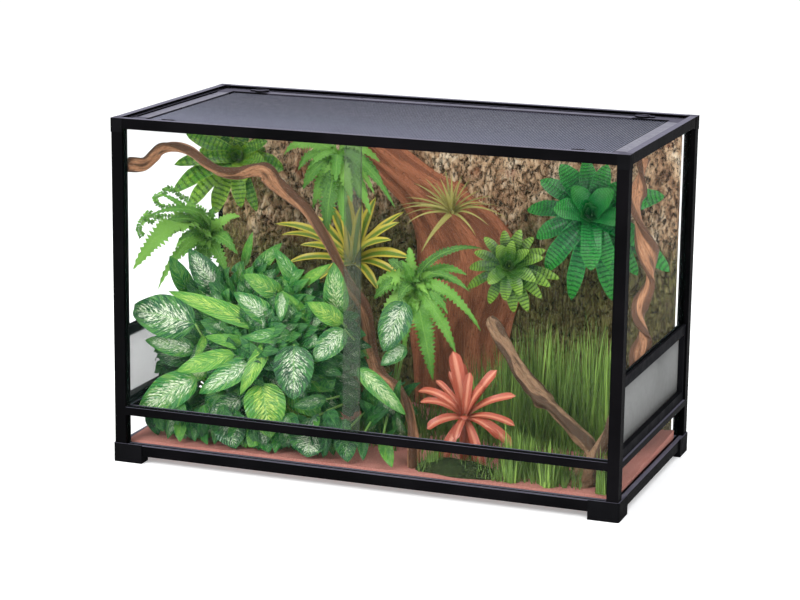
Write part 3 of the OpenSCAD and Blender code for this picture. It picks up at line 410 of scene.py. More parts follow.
def plain_leaf(name, dark, mid, light, vein=0.35, rough=(0.32, 0.5)):
    """A leaf with a paler midrib and faint side veins."""
    p = Paint(name, specular=0.4)
    colour = p.ramp(p.shade(), ((0.0, dark), (0.5, mid), (1.0, light)))
    mottle = p.noise(4, p.leaf_plane(8, 1.5), 4)
    colour = p.mix(p.times(p.step(mottle, 0.4, 0.7), 0.5), colour, light)
    p.colour(p.over(colour, light, p.away(), 0.02, 0.12, vein, 0.0))
    p.rough(mottle, *rough)
    p.bump(p.math("SINE", p.math("SUBTRACT", p.times(p.place(0), 60), p.times(p.away(), 14))), 0.12, 0.001)
    return p.mat


def feathered_leaf():
    """Cream flecks that run from the midrib out along the side veins."""
    p = Paint("feathered_leaf", specular=0.5)
    along, away = p.place(0), p.away()
    green = p.ramp(p.shade(), ((0.0, rgb(0, 44, 22)), (0.3, rgb(4, 82, 38)), (0.55, rgb(26, 112, 38)),
                               (0.8, rgb(66, 134, 42)), (1.0, rgb(102, 158, 48))))
    phase = p.math("SUBTRACT", p.times(along, 13), p.times(away, 4.2))
    plane = p.point(phase, p.times(p.place(1), 1.5), p.times(p.shade(), 41))
    streak = p.noise(2.6, plane, 6, 0.72, 0.7)
    tint = p.mix(p.shade(), rgb(34, 116, 46), rgb(136, 184, 66))
    green = p.over(green, tint, p.noise(1.3, plane, 4), 0.42, 0.62, 0.0, 0.75)
    middle = p.times(p.step(away, 0.2, 0.9, 1.0, 0.0), p.step(along, 0.02, 0.2))
    middle = p.times(p.times(middle, p.step(along, 0.75, 0.97, 1.0, 0.0)), p.place(2))
    cream = p.step(p.math("MULTIPLY_ADD", middle, 0.13, streak), 0.585, 0.63)
    cream = p.times(cream, p.step(p.noise(5, plane, 5, 0.8), 0.45, 0.51))
    cream = p.times(cream, p.step(middle, 0.05, 0.25))
    pale = p.over(rgb(226, 234, 208), rgb(196, 214, 100), p.shade(), 0.5, 0.75)
    vein = p.math("MULTIPLY_ADD", p.math("SINE", p.times(phase, 6.28)), 0.5, 0.5)
    groove = p.mix(p.shade(), rgb(10, 70, 30), rgb(60, 122, 40))
    colour = p.over(p.mix(cream, green, pale), groove, vein, 0.0, 0.2, 0.5, 0.0)
    p.colour(p.over(colour, rgb(120, 172, 88), away, 0.01, 0.05, 0.5, 0.0))
    p.rough(streak, 0.26, 0.42)
    p.bump(vein, 0.5, 0.002)
    return p.mat


def banded_leaf(name, dark, mid, light, bands, strength, tip=None):
    """A strap leaf crossed by wavering dark bands, with a paler margin."""
    p = Paint(name, specular=0.28)
    along = p.place(0)
    waver = p.times(p.noise(3.5, p.leaf_plane(7, 1.6), 4), 6.0)
    wave = p.math("SINE", p.math("ADD", p.times(along, bands * 6.283), waver))
    colour = p.ramp(p.shade(), ((0.0, dark), (0.5, mid), (1.0, light)))
    colour = p.over(colour, light, p.noise(2.2, p.leaf_plane(3, 1.2), 4), 0.45, 0.65, 0.0, 0.45)
    if tip:
        colour = p.over(colour, tip, along, 0.4, 1.0, 0.0, 0.85)
    colour = p.over(colour, dark, along, 0.0, 0.3, 0.6, 0.0)
    colour = p.mix(p.times(p.step(wave, 0.1, 0.8), strength), colour, dark)
    p.colour(p.over(colour, light, p.away(), 0.82, 1.0, 0.0, 0.4))
    p.rough(p.noise(30, detail=3), 0.25, 0.4)
    p.bump(p.math("SINE", p.times(p.place(1), 26)), 0.1, 0.001)
    return p.mat


def striped_leaf(name, margin, centre, deep, width=0.45):
    """A strap leaf with a stripe of another colour down its middle."""
    p = Paint(name, specular=0.4)
    streak = p.noise(4, p.leaf_plane(1.5, 5), 4)
    edge = p.math("ADD", p.away(), p.times(p.math("SUBTRACT", streak, 0.5), 0.5))
    colour = p.over(centre, margin, edge, width - 0.15, width + 0.15)
    # Darker towards the leaf's base, as painted shade near the crown.
    colour = p.over(colour, deep, p.place(0), 0.0, 0.3, 0.7, 0.0)
    p.colour(p.mix(p.times(p.shade(), 0.35), colour, deep))
    p.rough(streak, 0.3, 0.45)
    p.bump(p.math("SINE", p.times(p.place(1), 20)), 0.12, 0.001)
    return p.mat


def floor_paper():
    p = Paint("floor_paper", rough=0.9, specular=0.0, colour=(0.9, 0.9, 0.9), Emission_Color=(1, 1, 1, 1),
              Emission_Strength=0.3)
    p.colour(p.mix(p.noise(0.6, detail=2), (0.9, 0.9, 0.9), (0.91, 0.91, 0.91)))
    return p.mat


# ---------- the glass box ----------


def dress(material, *names):
    for name in names:
        slots = NODES[name].data.materials
        slots.clear()
        slots.append(material)


def dress_frame():
    # The paler colour on the faces that look up is a painted reflection of the bright room. It is used on the metal
    # rails, the lid rails and the black plastic.
    top_reflection = rgb(104, 102, 116)
    frame_black = satin_metal("frame_black_metal", rgb(8, 8, 9), rgb(15, 14, 16), top_reflection, 0.5, ior=1.02)
    lid_grey = satin_metal("lid_grey_metal", rgb(40, 38, 46), rgb(56, 54, 64), top_reflection, 0.12, 0.26, 0.38)
    plastic = moulded_plastic("black_plastic_moulded", rgb(9, 9, 10), rgb(18, 18, 20), top=rgb(84, 82, 94))
    track = moulded_plastic("track_plastic_moulded", rgb(14, 14, 16), rgb(26, 26, 29))
    vent = moulded_plastic("vent_grey_plastic", rgb(14, 14, 16), rgb(26, 26, 29))
    bead = moulded_plastic("beading_rubber", rgb(18, 18, 20), rgb(30, 30, 33))
    for prefix in ("front", "back", "left", "right"):
        dress(frame_black, prefix + "_base_rail", prefix + "_top_rail")
        dress(lid_grey, "lid_" + prefix + "_rail")
    for corner in ("front_left", "front_right", "back_left", "back_right"):
        dress(frame_black, corner + "_post")
        dress(plastic, corner + "_foot", corner + "_latch")
    dress(frame_black, "sill_rail", "left_mid_rail", "right_mid_rail")
    dress(plastic, "top_corner_blocks", "lid_corners")
    dress(track, "lower_door_track", "upper_door_track")
    dress(vent, "left_vent_frame", "right_vent_frame")
    dress(bead, "screen_beading")
    dress(screw_steel(), "foot_screws")
    dress(clear_glass(), "floor_pane", "back_pane", "front_strip_pane", "left_strip_pane", "right_strip_pane",
          "left_upper_pane", "right_upper_pane", "left_door", "right_door")
    dress(strip_plastic(), "door_seal")


def wire_screen(name, node, material, thin, wire_mm, pitch, body="enclosure"):
    """Two layers of wires that touch. thin is the axis across the screen: 0 for a side, 2 for the lid."""
    low, high = (np.array(v) * 1000 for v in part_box(node))
    skin = Skin()
    runs = [i for i in range(3) if i != thin]
    for layer, (run, other) in enumerate(((runs[0], runs[1]), (runs[1], runs[0]))):
        count = int((high[other] - low[other]) // pitch)
        start = (low[other] + high[other] - (count - 1) * pitch) / 2
        for k in range(count):
            ends = np.zeros((2, 3))
            ends[:, other] = start + k * pitch
            ends[:, thin] = (low[thin] + high[thin]) / 2 + (layer - 0.5) * 1.9 * wire_mm
            ends[:, run] = low[run], high[run]
            # The shade value marks the layer: painted shade on the lower wires, painted highlight on the upper ones.
            skin.tube(ends, wire_mm, 5, layer * 0.85)
    skin.object(name, material, "screen_wire", body, replaced=(node,))


def make_screens():
    dark = wire_metal("lid_wire", rgb(24, 26, 34), rgb(112, 114, 132))
    light = wire_metal("vent_wire", rgb(58, 60, 61), rgb(122, 123, 122))
    wire_screen("lid_wire_screen", "lid_screen", dark, 2, 0.6, 4.8, "lid")
    wire_screen("left_wire_screen", "left_vent_screen", light, 0, 0.36, 2.4)
    wire_screen("right_wire_screen", "right_vent_screen", light, 0, 0.36, 2.4)


# ---------- bark, trunk and ground ----------

BARK_HALF, BARK_TOP, BARK_Y, BARK_FRONT = 429.5, 575, 192.6, 178.6
BARK_BACK = BARK_Y + 1.8  # where the sheet's sides end, behind its deepest cracks
PLATE_COLS, PLATE_ROWS = 52, 24
GROUND_FRONT_Z, GROUND_BACK_Z = 35, 46
GROUND_X, GROUND_FRONT_Y, GROUND_BACK_Y = 437.4, -202.4, 182.3
BED_Z = 22  # the lower edge of the bark and of the ground


def field(rows, cols, at):
    """Smooth noise for each row and column, at the point that at(column, row) gives."""
    return np.array([[noise.noise(Vector(at(a, b))) for a in cols] for b in rows])


def ground_z(y):
    f = (y - GROUND_FRONT_Y) / (GROUND_BACK_Y - GROUND_FRONT_Y)
    return GROUND_FRONT_Z + (GROUND_BACK_Z - GROUND_FRONT_Z) * f


def plate_height(x, z, seeds):
    """0 in a crack and 1 on a plate, for points on the bark."""
    best = np.full((2,) + x.shape, 1e9)
    for sx, sz in seeds:
        d = np.hypot((x - sx) * 1.7, z - sz)
        second = np.minimum(best[1], np.maximum(d, best[0]))
        best[0] = np.minimum(best[0], d)
        best[1] = second
    return np.clip((best[1] - best[0]) / 6, 0, 1)


def make_bark(material):
    x = np.linspace(-BARK_HALF, BARK_HALF, 361)
    z = np.linspace(BED_Z, BARK_TOP, 233)
    X, Z = np.meshgrid(x, z)
    wob = field(z[::4], x[::4], lambda a, b: (a * 0.02, 0.3, b * 0.012))
    wob = np.kron(wob, np.ones((4, 4)))[: len(z), : len(x)]
    seeds = [(-450 + (i + 0.5) * 900 / PLATE_COLS + RNG.uniform(-8, 8),
              (j + 0.5) * 600 / PLATE_ROWS + (i % 2) * 12 + RNG.uniform(-12, 12))
             for i in range(PLATE_COLS) for j in range(PLATE_ROWS)]
    rag = field(z, x, lambda a, b: (a * 0.13, 5.5, b * 0.06))
    plate = plate_height(X + wob * 10 + rag * 9, Z + wob * 16 + rag[::-1] * 14, seeds)
    fine = np.sin(X * 0.9 + np.sin(Z * 0.11) * 2) * 0.04 + RNG.uniform(-0.05, 0.05, X.shape)
    h = np.clip(plate**0.6 * 0.85 + fine + 0.08, 0, 1)
    points = np.stack([X, BARK_Y - h * (BARK_Y - BARK_FRONT), Z], -1)
    points = np.concatenate([points, points[-1:] * [1, 0, 1] + [0, BARK_BACK, 0]])
    along = np.concatenate([z, z[-1:]]) / 600
    skin = Skin()
    skin.grid(points, along, 0.0, np.concatenate([plate, plate[-1:]]))
    for edge, turn in ((points[:, 0], 1), (points[:, -1], -1)):
        wall = np.stack([edge, edge * [1, 0, 1] + [0, BARK_BACK, 0]], 1)
        skin.grid(wall[:, ::turn], along, 0.0, 0.3)
    across, up = np.meshgrid([-BARK_HALF, BARK_HALF], [BED_Z, BARK_TOP])
    skin.grid(np.stack([across, np.full_like(across, BARK_BACK + 0.1), up], -1), [0, 1], 0.0, 0.6)
    skin.object("bark_sheet", material, "bark", replaced=("bark_panel",))


TRUNK = [  # x, z, half width, depth
    (42, 35, 86, 44), (38, 130, 86, 42), (40, 210, 96, 40), (46, 280, 112, 38), (44, 335, 104, 36),
    (6, 395, 70, 32), (-44, 440, 46, 28), (-100, 482, 40, 25), (-160, 522, 36, 22)]


def make_trunk(material):
    x, z, half, depth = smooth_path(TRUNK, 14).T
    go = unit(np.stack([np.gradient(x), np.gradient(z)], -1))
    a = np.linspace(-0.5, 0.5, 46) * math.pi
    groove = (field(range(len(x)), a, lambda q, i: (q * 3.4, i * 0.045, 1.7))
              + 0.5 * field(range(len(x)), a, lambda q, i: (q * 9, i * 0.07, 4.1)))
    out = half[:, None] * np.sin(a) * (1 + groove * 0.1)
    X, Z = x[:, None] + go[:, 1:] * out, z[:, None] - go[:, :1] * out
    Y = BARK_FRONT + 8 - depth[:, None] * np.cos(a) * (0.9 + groove * 0.34)
    skin = Skin()
    skin.grid(np.stack([X, Y, Z], -1), np.linspace(0, 1, len(x)), a / 3, np.clip(0.5 + groove * 1.3, 0, 1))
    skin.object("trunk_relief", material, "driftwood")


def make_ground(material):
    x = np.linspace(-GROUND_X, GROUND_X, 240)
    y = np.linspace(GROUND_FRONT_Y, GROUND_BACK_Y, 110)
    X, Y = np.meshgrid(x, y)
    Z = ground_z(Y) + field(y, x, lambda a, b: (a * 0.02, b * 0.02, 0)) * 2.2 - 0.6
    top = np.stack([X, Y, Z], -1)
    foot = top * [1, 1, 0] + [0, 0, BED_Z]
    skin = Skin()
    skin.grid(np.concatenate([foot[:1], top]), np.concatenate([y[:1], y]) / 400, 0.0)
    skin.grid(np.stack([foot[:, 0], top[:, 0]]), [0, 1], 0.0)
    skin.grid(np.stack([top[:, -1], foot[:, -1]]), [0, 1], 0.0)
    skin.object("ground_fill", material, "ground", replaced=("ground",))


# ---------- driftwood ----------


def limb(skin, path, radii, seed, turns=0.0, sway=0.0, flat=0.55, steps=9, cols=26, rough=0.16, ribs=3):
    """A grooved, flattened branch along path, whose broad side winds round turns times and swings by sway."""
    curve = smooth_path(np.column_stack([path, radii]), steps)
    p, r = curve[:, :3], curve[:, 3:]
    go = unit(np.gradient(p, axis=0))
    side = unit(np.cross(go[0], [0.1, 1, 0.05]))
    sides = []
    for g in go:
        side = unit(side - g * np.dot(side, g))
        sides.append(side)
    sides = np.array(sides)
    tops = np.cross(sides, go)
    a = np.linspace(0, math.tau, cols + 1)
    t = np.linspace(0, 1, len(p))[:, None]
    spun = (a + turns * math.tau * t + sway * np.sin(t * 17 + seed))[..., None]
    wave = field(range(len(p)), a, lambda q, i: (math.cos(q) * 1.3, math.sin(q) * 1.3, i * 0.09 + seed * 7))
    ridge = np.cos(ribs * (a + t * 3)) * 0.1
    squash = 1 / np.sqrt(np.cos(a) ** 2 + (np.sin(a) / flat) ** 2)
    reach = (squash * (1 + rough * wave * 1.6 + ridge) * r)[..., None]
    points = p[:, None] + (sides[:, None] * np.cos(spun) + tops[:, None] * np.sin(spun)) * reach
    # The shade value is low in the grooves and high on the ridges, and the two narrow edges of the flattened branch
    # are darkened as painted shade.
    shade = np.clip(0.72 + wave * 0.9 + ridge * 1.8 - np.abs(np.cos(a)) ** 5 * 1.1, 0, 1)
    skin.rings(p, points, a, np.concatenate([shade[:1], shade, shade[-1:]]))


# The climbing and the leaning branch through pixels of the photograph: px, py, depth y in mm, radius in mm
LIANA_SEEN = [
    (128, 165, -192, 13), (142.6, 165.5, -160, 13), (153, 157, -138, 14), (160.5, 149.5, -120, 15),
    (172.7, 146.5, -100, 15), (189.7, 151, -85, 16), (206.6, 163, -68, 16), (222, 171.5, -52, 15),
    (238, 172.5, -40, 14), (254, 169.5, -30, 14), (267, 171, -22, 16), (276, 183.5, -14, 14),
    (292, 197.5, -6, 14), (309, 214, 0, 16), (323, 233, 0, 17), (336, 258, -3, 15), (348.5, 284, -12, 17),
    (362.5, 305, -22, 16), (368.5, 331, -30, 14), (371.5, 358, -44, 15), (379, 379, -62, 17), (395, 391, -80, 16),
    (405, 402, -100, 15), (411.5, 422, -128, 15), (414.5, 443, -156, 16), (414, 469, -163, 18)]
LEAN_SEEN = [
    (490, 317, -20, 6), (494.5, 325, -22, 11), (506, 347, -34, 12), (521, 371.5, -48, 13), (533, 388, -58, 17),
    (543, 399, -66, 18), (553, 408, -74, 13), (566, 421, -86, 15), (577, 433, -98, 16), (590, 447, -112, 18),
    (596, 462, -146, 14)]
FORK = [(371.7, -150, 55, 15), (387.7, -146, 80, 14), (405.7, -136, 118, 12), (413.7, -130, 150, 9)]
STUMP = [(371.7, -150, 27, 30), (371.7, -150, 46, 24), (371.7, -150, 70, 17)]
VINE = [
    (404.7, 60, 28, 16), (404.7, 60, 56, 17), (399.7, 75, 100, 16), (413.7, 60, 150, 17), (408.7, 20, 195, 18),
    (414.7, 45, 245, 16), (409.7, 20, 295, 15), (416.7, 60, 345, 17), (411.7, 30, 410, 19), (401.7, 0, 480, 17),
    (407.7, 5, 520, 15), (409.7, 14, 556, 12)]


def split(rows):
    rows = np.array(rows, float)
    return rows[:, :3], rows[:, 3]


def through(rows):
    """The path and radii of a limb that is given by pixels."""
    return [seen(px, py, y) for px, py, y, _ in rows], [row[3] for row in rows]


def make_driftwood():
    tan = wood_material("liana_wood", rgb(48, 30, 22), rgb(152, 106, 76), rgb(198, 148, 110), rgb(226, 184, 146),
                        0.35)
    grey = wood_material("branch_wood", rgb(48, 34, 26), rgb(122, 94, 70), rgb(158, 126, 98), rgb(188, 156, 124),
                         0.3, 14)
    vine = Skin()
    limb(vine, *through(LIANA_SEEN), 1, sway=0.7, flat=0.5, steps=8, cols=36, rough=0.2)
    vine.object("liana_ribbon", tan, "driftwood", replaced=("liana",))
    lean = Skin()
    limb(lean, *through(LEAN_SEEN), 2, turns=0.4, flat=0.65, steps=12, cols=32, rough=0.24, ribs=5)
    limb(lean, *split(FORK), 3, turns=0.4, flat=0.8)
    limb(lean, *split(STUMP), 4, flat=0.95, ribs=5)
    lean.object("leaning_branch", grey, "driftwood", replaced=("branches",))
    coil = Skin()
    limb(coil, *split(VINE), 5, turns=3.4, flat=0.34, steps=12, cols=32)
    coil.object("twisted_vine", tan, "driftwood")


# ---------- leaves ----------


INSIDE_LOW, INSIDE_HIGH = np.array([-434.5, -203.5, 24]), np.array([434.5, 190, 583])
GOLDEN = 137.5  # degrees from one leaf to the next round a crown
TOOTH = 6.5  # mm from one tooth of a fern to the next
SPRIG_Y, LEAFLET = -20, 6.5  # depth of the sprigs, and length of their leaflets
LEAF_FACE, FERN_FACE = (0.2, -0.9, 0.4), np.array([0.2, -0.85, 0.45])


def inside(px, py, y, margin=5):
    """The place of a pixel at depth y, or nearer to the camera where the left pane would be in the way."""
    place = seen(px, py, y)
    while place[0] < INSIDE_LOW[0] + margin and y > -195:
        y -= 3
        place = seen(px, py, y)
    return place


def lance(t):
    return (t**0.55 * (1 - t) ** 0.85) / 0.392


def strap(t):
    return np.clip(1.05 * (0.55 + t) ** 0.3, 0, 1) * np.clip((1 - t) / 0.3, 0, 1) ** 0.55


def blunt(t):
    return np.clip(0.62 + 0.9 * t, 0, 1) * np.clip((1 - t) / 0.12, 0, 1) ** 0.5


def needle(t):
    return (1 - t) ** 0.75


def bowed(base, tip, face, arch, lean, t, rise=0.0, nod=0.0):
    """The spine of a leaf, bowed towards face, and the directions along it, across it and out of it.

    A leaf that reaches sideways also rises, and nod bends its tip down.
    """
    base, tip = np.array(base, float), np.array(tip, float)
    span = tip - base
    length = np.linalg.norm(span)
    go = span / length
    up = unit(np.array(face, float) - go * np.dot(face, go))
    knee = base + span * lean + up * arch * 2 * length + [0, 0, rise * (go[0] ** 2 + go[1] ** 2) * length]
    q = t[:, None]
    spine = base * (1 - q) ** 2 + knee * 2 * q * (1 - q) + tip * q**2
    spine = spine - np.array([0, 0, nod]) * length * np.clip(q - 0.75, 0, 1) ** 2 * 16
    tangent = unit(np.gradient(spine, axis=0))
    side = unit(np.cross(tangent, up))
    return spine, tangent, side, np.cross(side, tangent)


def twist(side, normal, angle):
    c, s = np.cos(angle)[:, None], np.sin(angle)[:, None]
    return side * c + normal * s, normal * c - side * s


def leaf(skin, base, tip, width, face=LEAF_FACE, arch=0.12, fold=0.3, wave=0.0, rows=14, cols=6, shade=None,
         kind=1.0, shape=lance, roll=0.0, lean=0.5):
    """A leaf from base to tip whose upper side looks towards face and bows that way by arch."""
    t = np.linspace(0, 1, rows)
    spine, _, side, normal = bowed(base, tip, face, arch, lean, t)
    side, normal = twist(side, normal, roll * t)
    v = np.linspace(-1, 1, cols + 1)
    half = (width / 2 * shape(t))[:, None]
    turns, phase = 2 * math.tau * t[:, None], RNG.uniform(0, 6.28)
    ripple = np.sin(turns + phase) * np.sign(v) + 0.4 * np.cos(turns * 1.7 + phase)
    out = np.abs(v) * math.sin(fold) + wave * ripple * v**2
    points = (spine[:, None] + side[:, None] * (half * v * math.cos(fold))[..., None]
              + normal[:, None] * (half * out)[..., None])
    skin.grid(np.clip(points, INSIDE_LOW, INSIDE_HIGH), t, v, RNG.uniform(0.1, 0.9) if shade is None else shade,
              kind)


def frond(skin, base, tip, width, face, arch):
    """A fern leaf: a strap that rises and droops, with saw-toothed edges, a raised rib and a bent tip."""
    teeth = max(8, int(np.linalg.norm(np.subtract(tip, base)) / TOOTH))
    t = np.linspace(0, 1, teeth * 2 + 1)
    spine, tangent, side, normal = bowed(base, tip, face, arch, 0.42, t, rise=0.34, nod=0.05)
    side, normal = twist(side, normal, 0.3 * np.sin(t * 5 + RNG.uniform(0, 6.28)))
    saw = np.where(np.arange(len(t)) % 2 == 0, 0.62, 1.0) * RNG.uniform(0.86, 1.12, len(t))
    half = (width / 2 * np.clip(t / 0.14, 0.12, 1) ** 0.6 * (1 - t**3.4) ** 0.85)[:, None]
    v = np.array([-1, -0.55, 0, 0.55, 1])
    reach = half * v * np.where(np.abs(v) > 0.9, saw[:, None], 1)
    ripple = 0.22 * np.sin(t * teeth * 0.9 + RNG.uniform(0, 6.28))[:, None] * v**2
    lift = half * (0.28 * np.abs(v) + ripple)
    forward = half * 0.28 * v**2
    points = (spine[:, None] + side[:, None] * reach[..., None] + normal[:, None] * lift[..., None]
              + tangent[:, None] * forward[..., None])
    skin.grid(np.clip(points, INSIDE_LOW, INSIDE_HIGH), t * teeth / 10, v, RNG.uniform(0.1, 0.9), 1.0)
    spine = np.clip(spine - normal * 0.3, INSIDE_LOW + 1, INSIDE_HIGH - 1)
    skin.tube(spine, np.linspace(1.1, 0.3, len(t)), 4, 0.9)


def sprig(skin, places):
    """A thin wavy stem through pixels of the photograph, with small leaflets on both sides."""
    stem = smooth_path([inside(px, py, SPRIG_Y) for px, py in places], 9)
    stem = np.clip(stem, INSIDE_LOW + 2, INSIDE_HIGH - 2)
    skin.tube(stem, np.linspace(1.3, 0.5, len(stem)), 5, 0.3)
    go = unit(np.gradient(stem, axis=0))
    for k in range(1, len(stem) - 1):
        out = unit(np.cross(go[k], LEAF_FACE)) * (1 if k % 2 else -1)
        tip = stem[k] + (out + go[k] * 0.6) * LEAFLET * RNG.uniform(0.7, 1.2) + RNG.uniform(-1, 1, 3)
        leaf(skin, stem[k], tip, LEAFLET * 0.75, fold=0.2, rows=5, cols=2)


# ---------- the plants ----------

CORNER_BROM, BANDED_BROM, SMALL_BROM = (-349.7, 70, 492), (299.7, 100, 435), (161, 75, 338)
YELLOW_BROM, AIR_CROWN = (-141, 112, 311), (39, 122, 416)
HANGING_FERN, MIDDLE_FERN, SIDE_FERN = (-152, 60, 512), (-6, 60, 287), (-375.7, 0, 352)
CORAL_CROWN = (150, -115, 116)
PEG_END_Y = 196


def peg(skin, crown, radius=6):
    """The root that holds a crown on the bark."""
    x, y, z = crown
    path = smooth_path([(x, PEG_END_Y, z), (x, (y + PEG_END_Y) / 2 + 10, z - 2), (x, y + 2, z)], 4)
    skin.tube(path, np.linspace(radius, radius * 0.8, len(path)), 10, 0.3)


def star(skin, crown, depth, leaves, axis=(0.2, -0.85, 0.4), shape=strap, fold=0.3, cols=6):
    """Leaves from one crown to their tips in the photograph, from a table of leaves."""
    axis = unit(axis)
    for px, py, width, forward, bow in leaves:
        tip = inside(px, py, depth - forward)
        go = unit(tip - crown)
        face = axis - go * np.dot(axis, go) + [0, 0, 0.15]
        shade = 0.2 + 0.6 * min(1, max(0, forward / 45)) + RNG.uniform(-0.1, 0.1)
        leaf(skin, crown + go * 5, tip, width, face, 0.1 * bow, fold, cols=cols, shade=shade, shape=shape)


def cup(skin, crown, count, length, width):
    """The short upright leaves that make a tank in the middle of a crown."""
    axis = unit(LEAF_FACE)
    east = unit(np.cross(axis, [0, 0, 1]))
    north = np.cross(east, axis)
    for k in range(count):
        f = k / (count - 1)
        a = math.radians(k * GOLDEN + RNG.uniform(-8, 8))
        tilt = math.radians(18 + 20 * f**0.8 + RNG.uniform(-5, 5))
        radial = east * math.cos(a) + north * math.sin(a)
        go = axis * math.cos(tilt) + radial * math.sin(tilt)
        reach = length * (0.8 + 0.2 * f**0.6) * RNG.uniform(0.88, 1.06)
        base = crown + go * 4
        face = axis * math.sin(tilt) - radial * math.cos(tilt)
        leaf(skin, base, base + go * reach, width * (0.7 + 0.3 * f), face, -0.12, 0.5, rows=8,
             shade=np.clip(0.2 + 0.6 * f + RNG.uniform(-0.2, 0.2), 0, 1), shape=strap)


# Leaves: tip px, tip py, width mm, mm forward of the crown, bow
CORNER_LEAVES = [
    (186, 134, 30, 10, 1), (174, 165, 28, 10, 1), (173, 193, 34, 25, 1.4), (188, 210, 28, 30, 1.4),
    (215, 214, 32, 34, 1.4), (241, 208, 27, 34, 1.4), (257, 212, 21, 20, 1.2), (265, 163, 30, 30, 1),
    (284, 170, 38, 5, 1), (268, 141, 24, 15, 1), (212, 126, 28, 0, 1), (246, 128, 30, 0, 1), (199, 150, 30, 35, 1),
    (222, 178, 30, 44, 1.5), (246, 182, 28, 42, 1.5)]
BANDED_LEAVES = [
    (527, 210, 31, -20, 1), (540, 180, 33, -12, 1), (560, 164, 38, 0, 1), (586, 158, 32, -8, 1),
    (608, 164, 34, 0, 1), (628, 182, 34, 5, 1), (650, 205, 32, 10, 1), (536, 238, 34, 10, 1),
    (546, 271, 37, 18, 1.2), (571, 300, 30, 14, 1.4), (613, 301, 34, 14, 1.4), (613, 272, 30, 24, 1.2),
    (648, 248, 38, 10, 1.2), (591, 271, 37, 34, 1.5), (553, 209, 40, 30, 1.2), (614, 190, 40, 28, 1.2),
    (572, 186, 34, 26, 1), (629, 224, 36, 34, 1.2), (638, 276, 30, 0, 1), (665, 196, 40, -38, 1),
    (670, 272, 36, -38, 1)]
SMALL_LEAVES = [
    (521, 229, 22, 0, 1), (504, 230, 20, -8, 1), (484, 237, 18, -10, 1), (474, 252, 18, -8, 1),
    (469, 268, 21, 4, 1), (467, 289, 18, 8, 1.2), (489, 304, 20, 14, 1.3), (505, 301, 22, 26, 1.4),
    (514, 313, 21, 18, 1.4), (528, 312, 21, 18, 1.4), (542, 299, 20, 14, 1.3), (551, 287, 21, 14, 1.2),
    (560, 279, 20, -4, 1), (546, 250, 20, -4, 1), (534, 237, 20, -8, 1), (544, 258, 22, 16, 1),
    (497, 245, 26, 24, 1), (488, 284, 24, 26, 1.2), (513, 240, 20, 24, 1), (530, 250, 20, 24, 1),
    (536, 282, 22, 28, 1.2), (521, 296, 22, 30, 1.4)]
YELLOW_LEAVES = [
    (275, 224, 17, 30, 2.2), (281, 235, 14, 20, 2.4), (288, 263, 16, 30, 1.6), (330, 204, 20, 10, 0.6),
    (343, 185, 28, 0, 0.4), (376, 197, 20, 10, 0.6), (400, 222, 19, 20, 1.4), (404, 212, 16, 0, 1.2),
    (410, 258, 24, 20, 1.6), (402, 278, 17, 35, 1.8), (312, 214, 17, 0, 1), (362, 205, 20, 25, 0.6),
    (318, 280, 17, 45, 2), (378, 290, 17, 50, 2), (300, 245, 16, 45, 1.8), (392, 240, 20, 45, 1.6)]
CORAL_LEAVES = [
    (453, 351, 24, 0, 0.5), (497, 370, 19, -10, 0.8), (516, 396, 17, 0, 1.2), (515, 426, 15, 10, 1.4),
    (512, 447, 20, 25, 1.6), (482, 474, 17, 40, 1.8), (475, 469, 9, 30, 1.6), (441, 470, 21, 35, 1.8),
    (427, 429, 19, 30, 1.8), (418, 391, 17, -10, 2.2), (420, 402, 15, 10, 2), (449, 371, 11, -20, 0.8),
    (462, 362, 17, -15, 0.6), (484, 385, 18, 10, 0.8), (500, 440, 14, 30, 1.6), (436, 380, 12, -20, 1.2),
    (455, 440, 14, 45, 1.8), (470, 372, 16, 12, 0.6)]
AIR_LEAVES = [
    (395, 207, 7, 0, 1.4), (394, 213, 7, 15, 1.6), (404, 227, 7, 25, 1.8), (414, 183, 8, 0, 1),
    (425, 178, 8, 5, 0.6), (435, 182, 8, 10, 0.6), (445, 168, 8, 0, 0.5), (452, 174, 8, 15, 0.4),
    (462, 175, 8, 5, 0.5), (471, 178, 8, 10, 0.6), (481, 190, 8, 5, 0.8), (494, 196, 8, 0, 1),
    (497, 213, 7, 10, 1.4), (508, 219, 7, 15, 1.8), (489, 226, 7, 25, 1.8), (421, 253, 14, 25, 0.8),
    (405, 198, 7, 10, 1.2), (486, 203, 7, 20, 1.2), (440, 178, 9, 25, 0.5), (458, 182, 9, 28, 0.5),
    (470, 190, 8, 30, 0.8), (425, 195, 8, 30, 0.8), (415, 205, 8, 25, 1), (476, 236, 7, 30, 1.6),
    (400, 219, 6, 5, 1.6), (500, 206, 6, 0, 1.2)]


def bark_plant(name, crown, depth, leaves, material, slot="leaf_green", replaced=(), tank=None, **looks):
    """A crown that its root holds on the bark, with a tank of count, length and width where it has one."""
    skin = Skin()
    peg(skin, crown)
    star(skin, crown, depth, leaves, **looks)
    if tank:
        cup(skin, crown, *tank)
    skin.object(name, material, slot, replaced=replaced)


def make_bromeliads():
    bark_plant("corner_bromeliad", CORNER_BROM, 70, CORNER_LEAVES, banded_leaf(
        "corner_bromeliad_leaf", rgb(20, 62, 18), rgb(74, 130, 34), rgb(146, 182, 56), 12, 0.7),
        replaced=("green_bromeliads",), tank=(7, 30, 26))
    bark_plant("banded_bromeliad", BANDED_BROM, 100, BANDED_LEAVES, banded_leaf(
        "banded_bromeliad_leaf", rgb(0, 44, 24), rgb(4, 100, 42), rgb(44, 150, 62), 17, 0.75, rgb(52, 142, 50)),
        tank=(7, 34, 32))
    bark_plant("small_bromeliad", SMALL_BROM, 75, SMALL_LEAVES, banded_leaf(
        "small_bromeliad_leaf", rgb(14, 42, 16), rgb(40, 88, 28), rgb(96, 144, 44), 13, 0.75, rgb(136, 176, 60)),
        tank=(6, 20, 18))


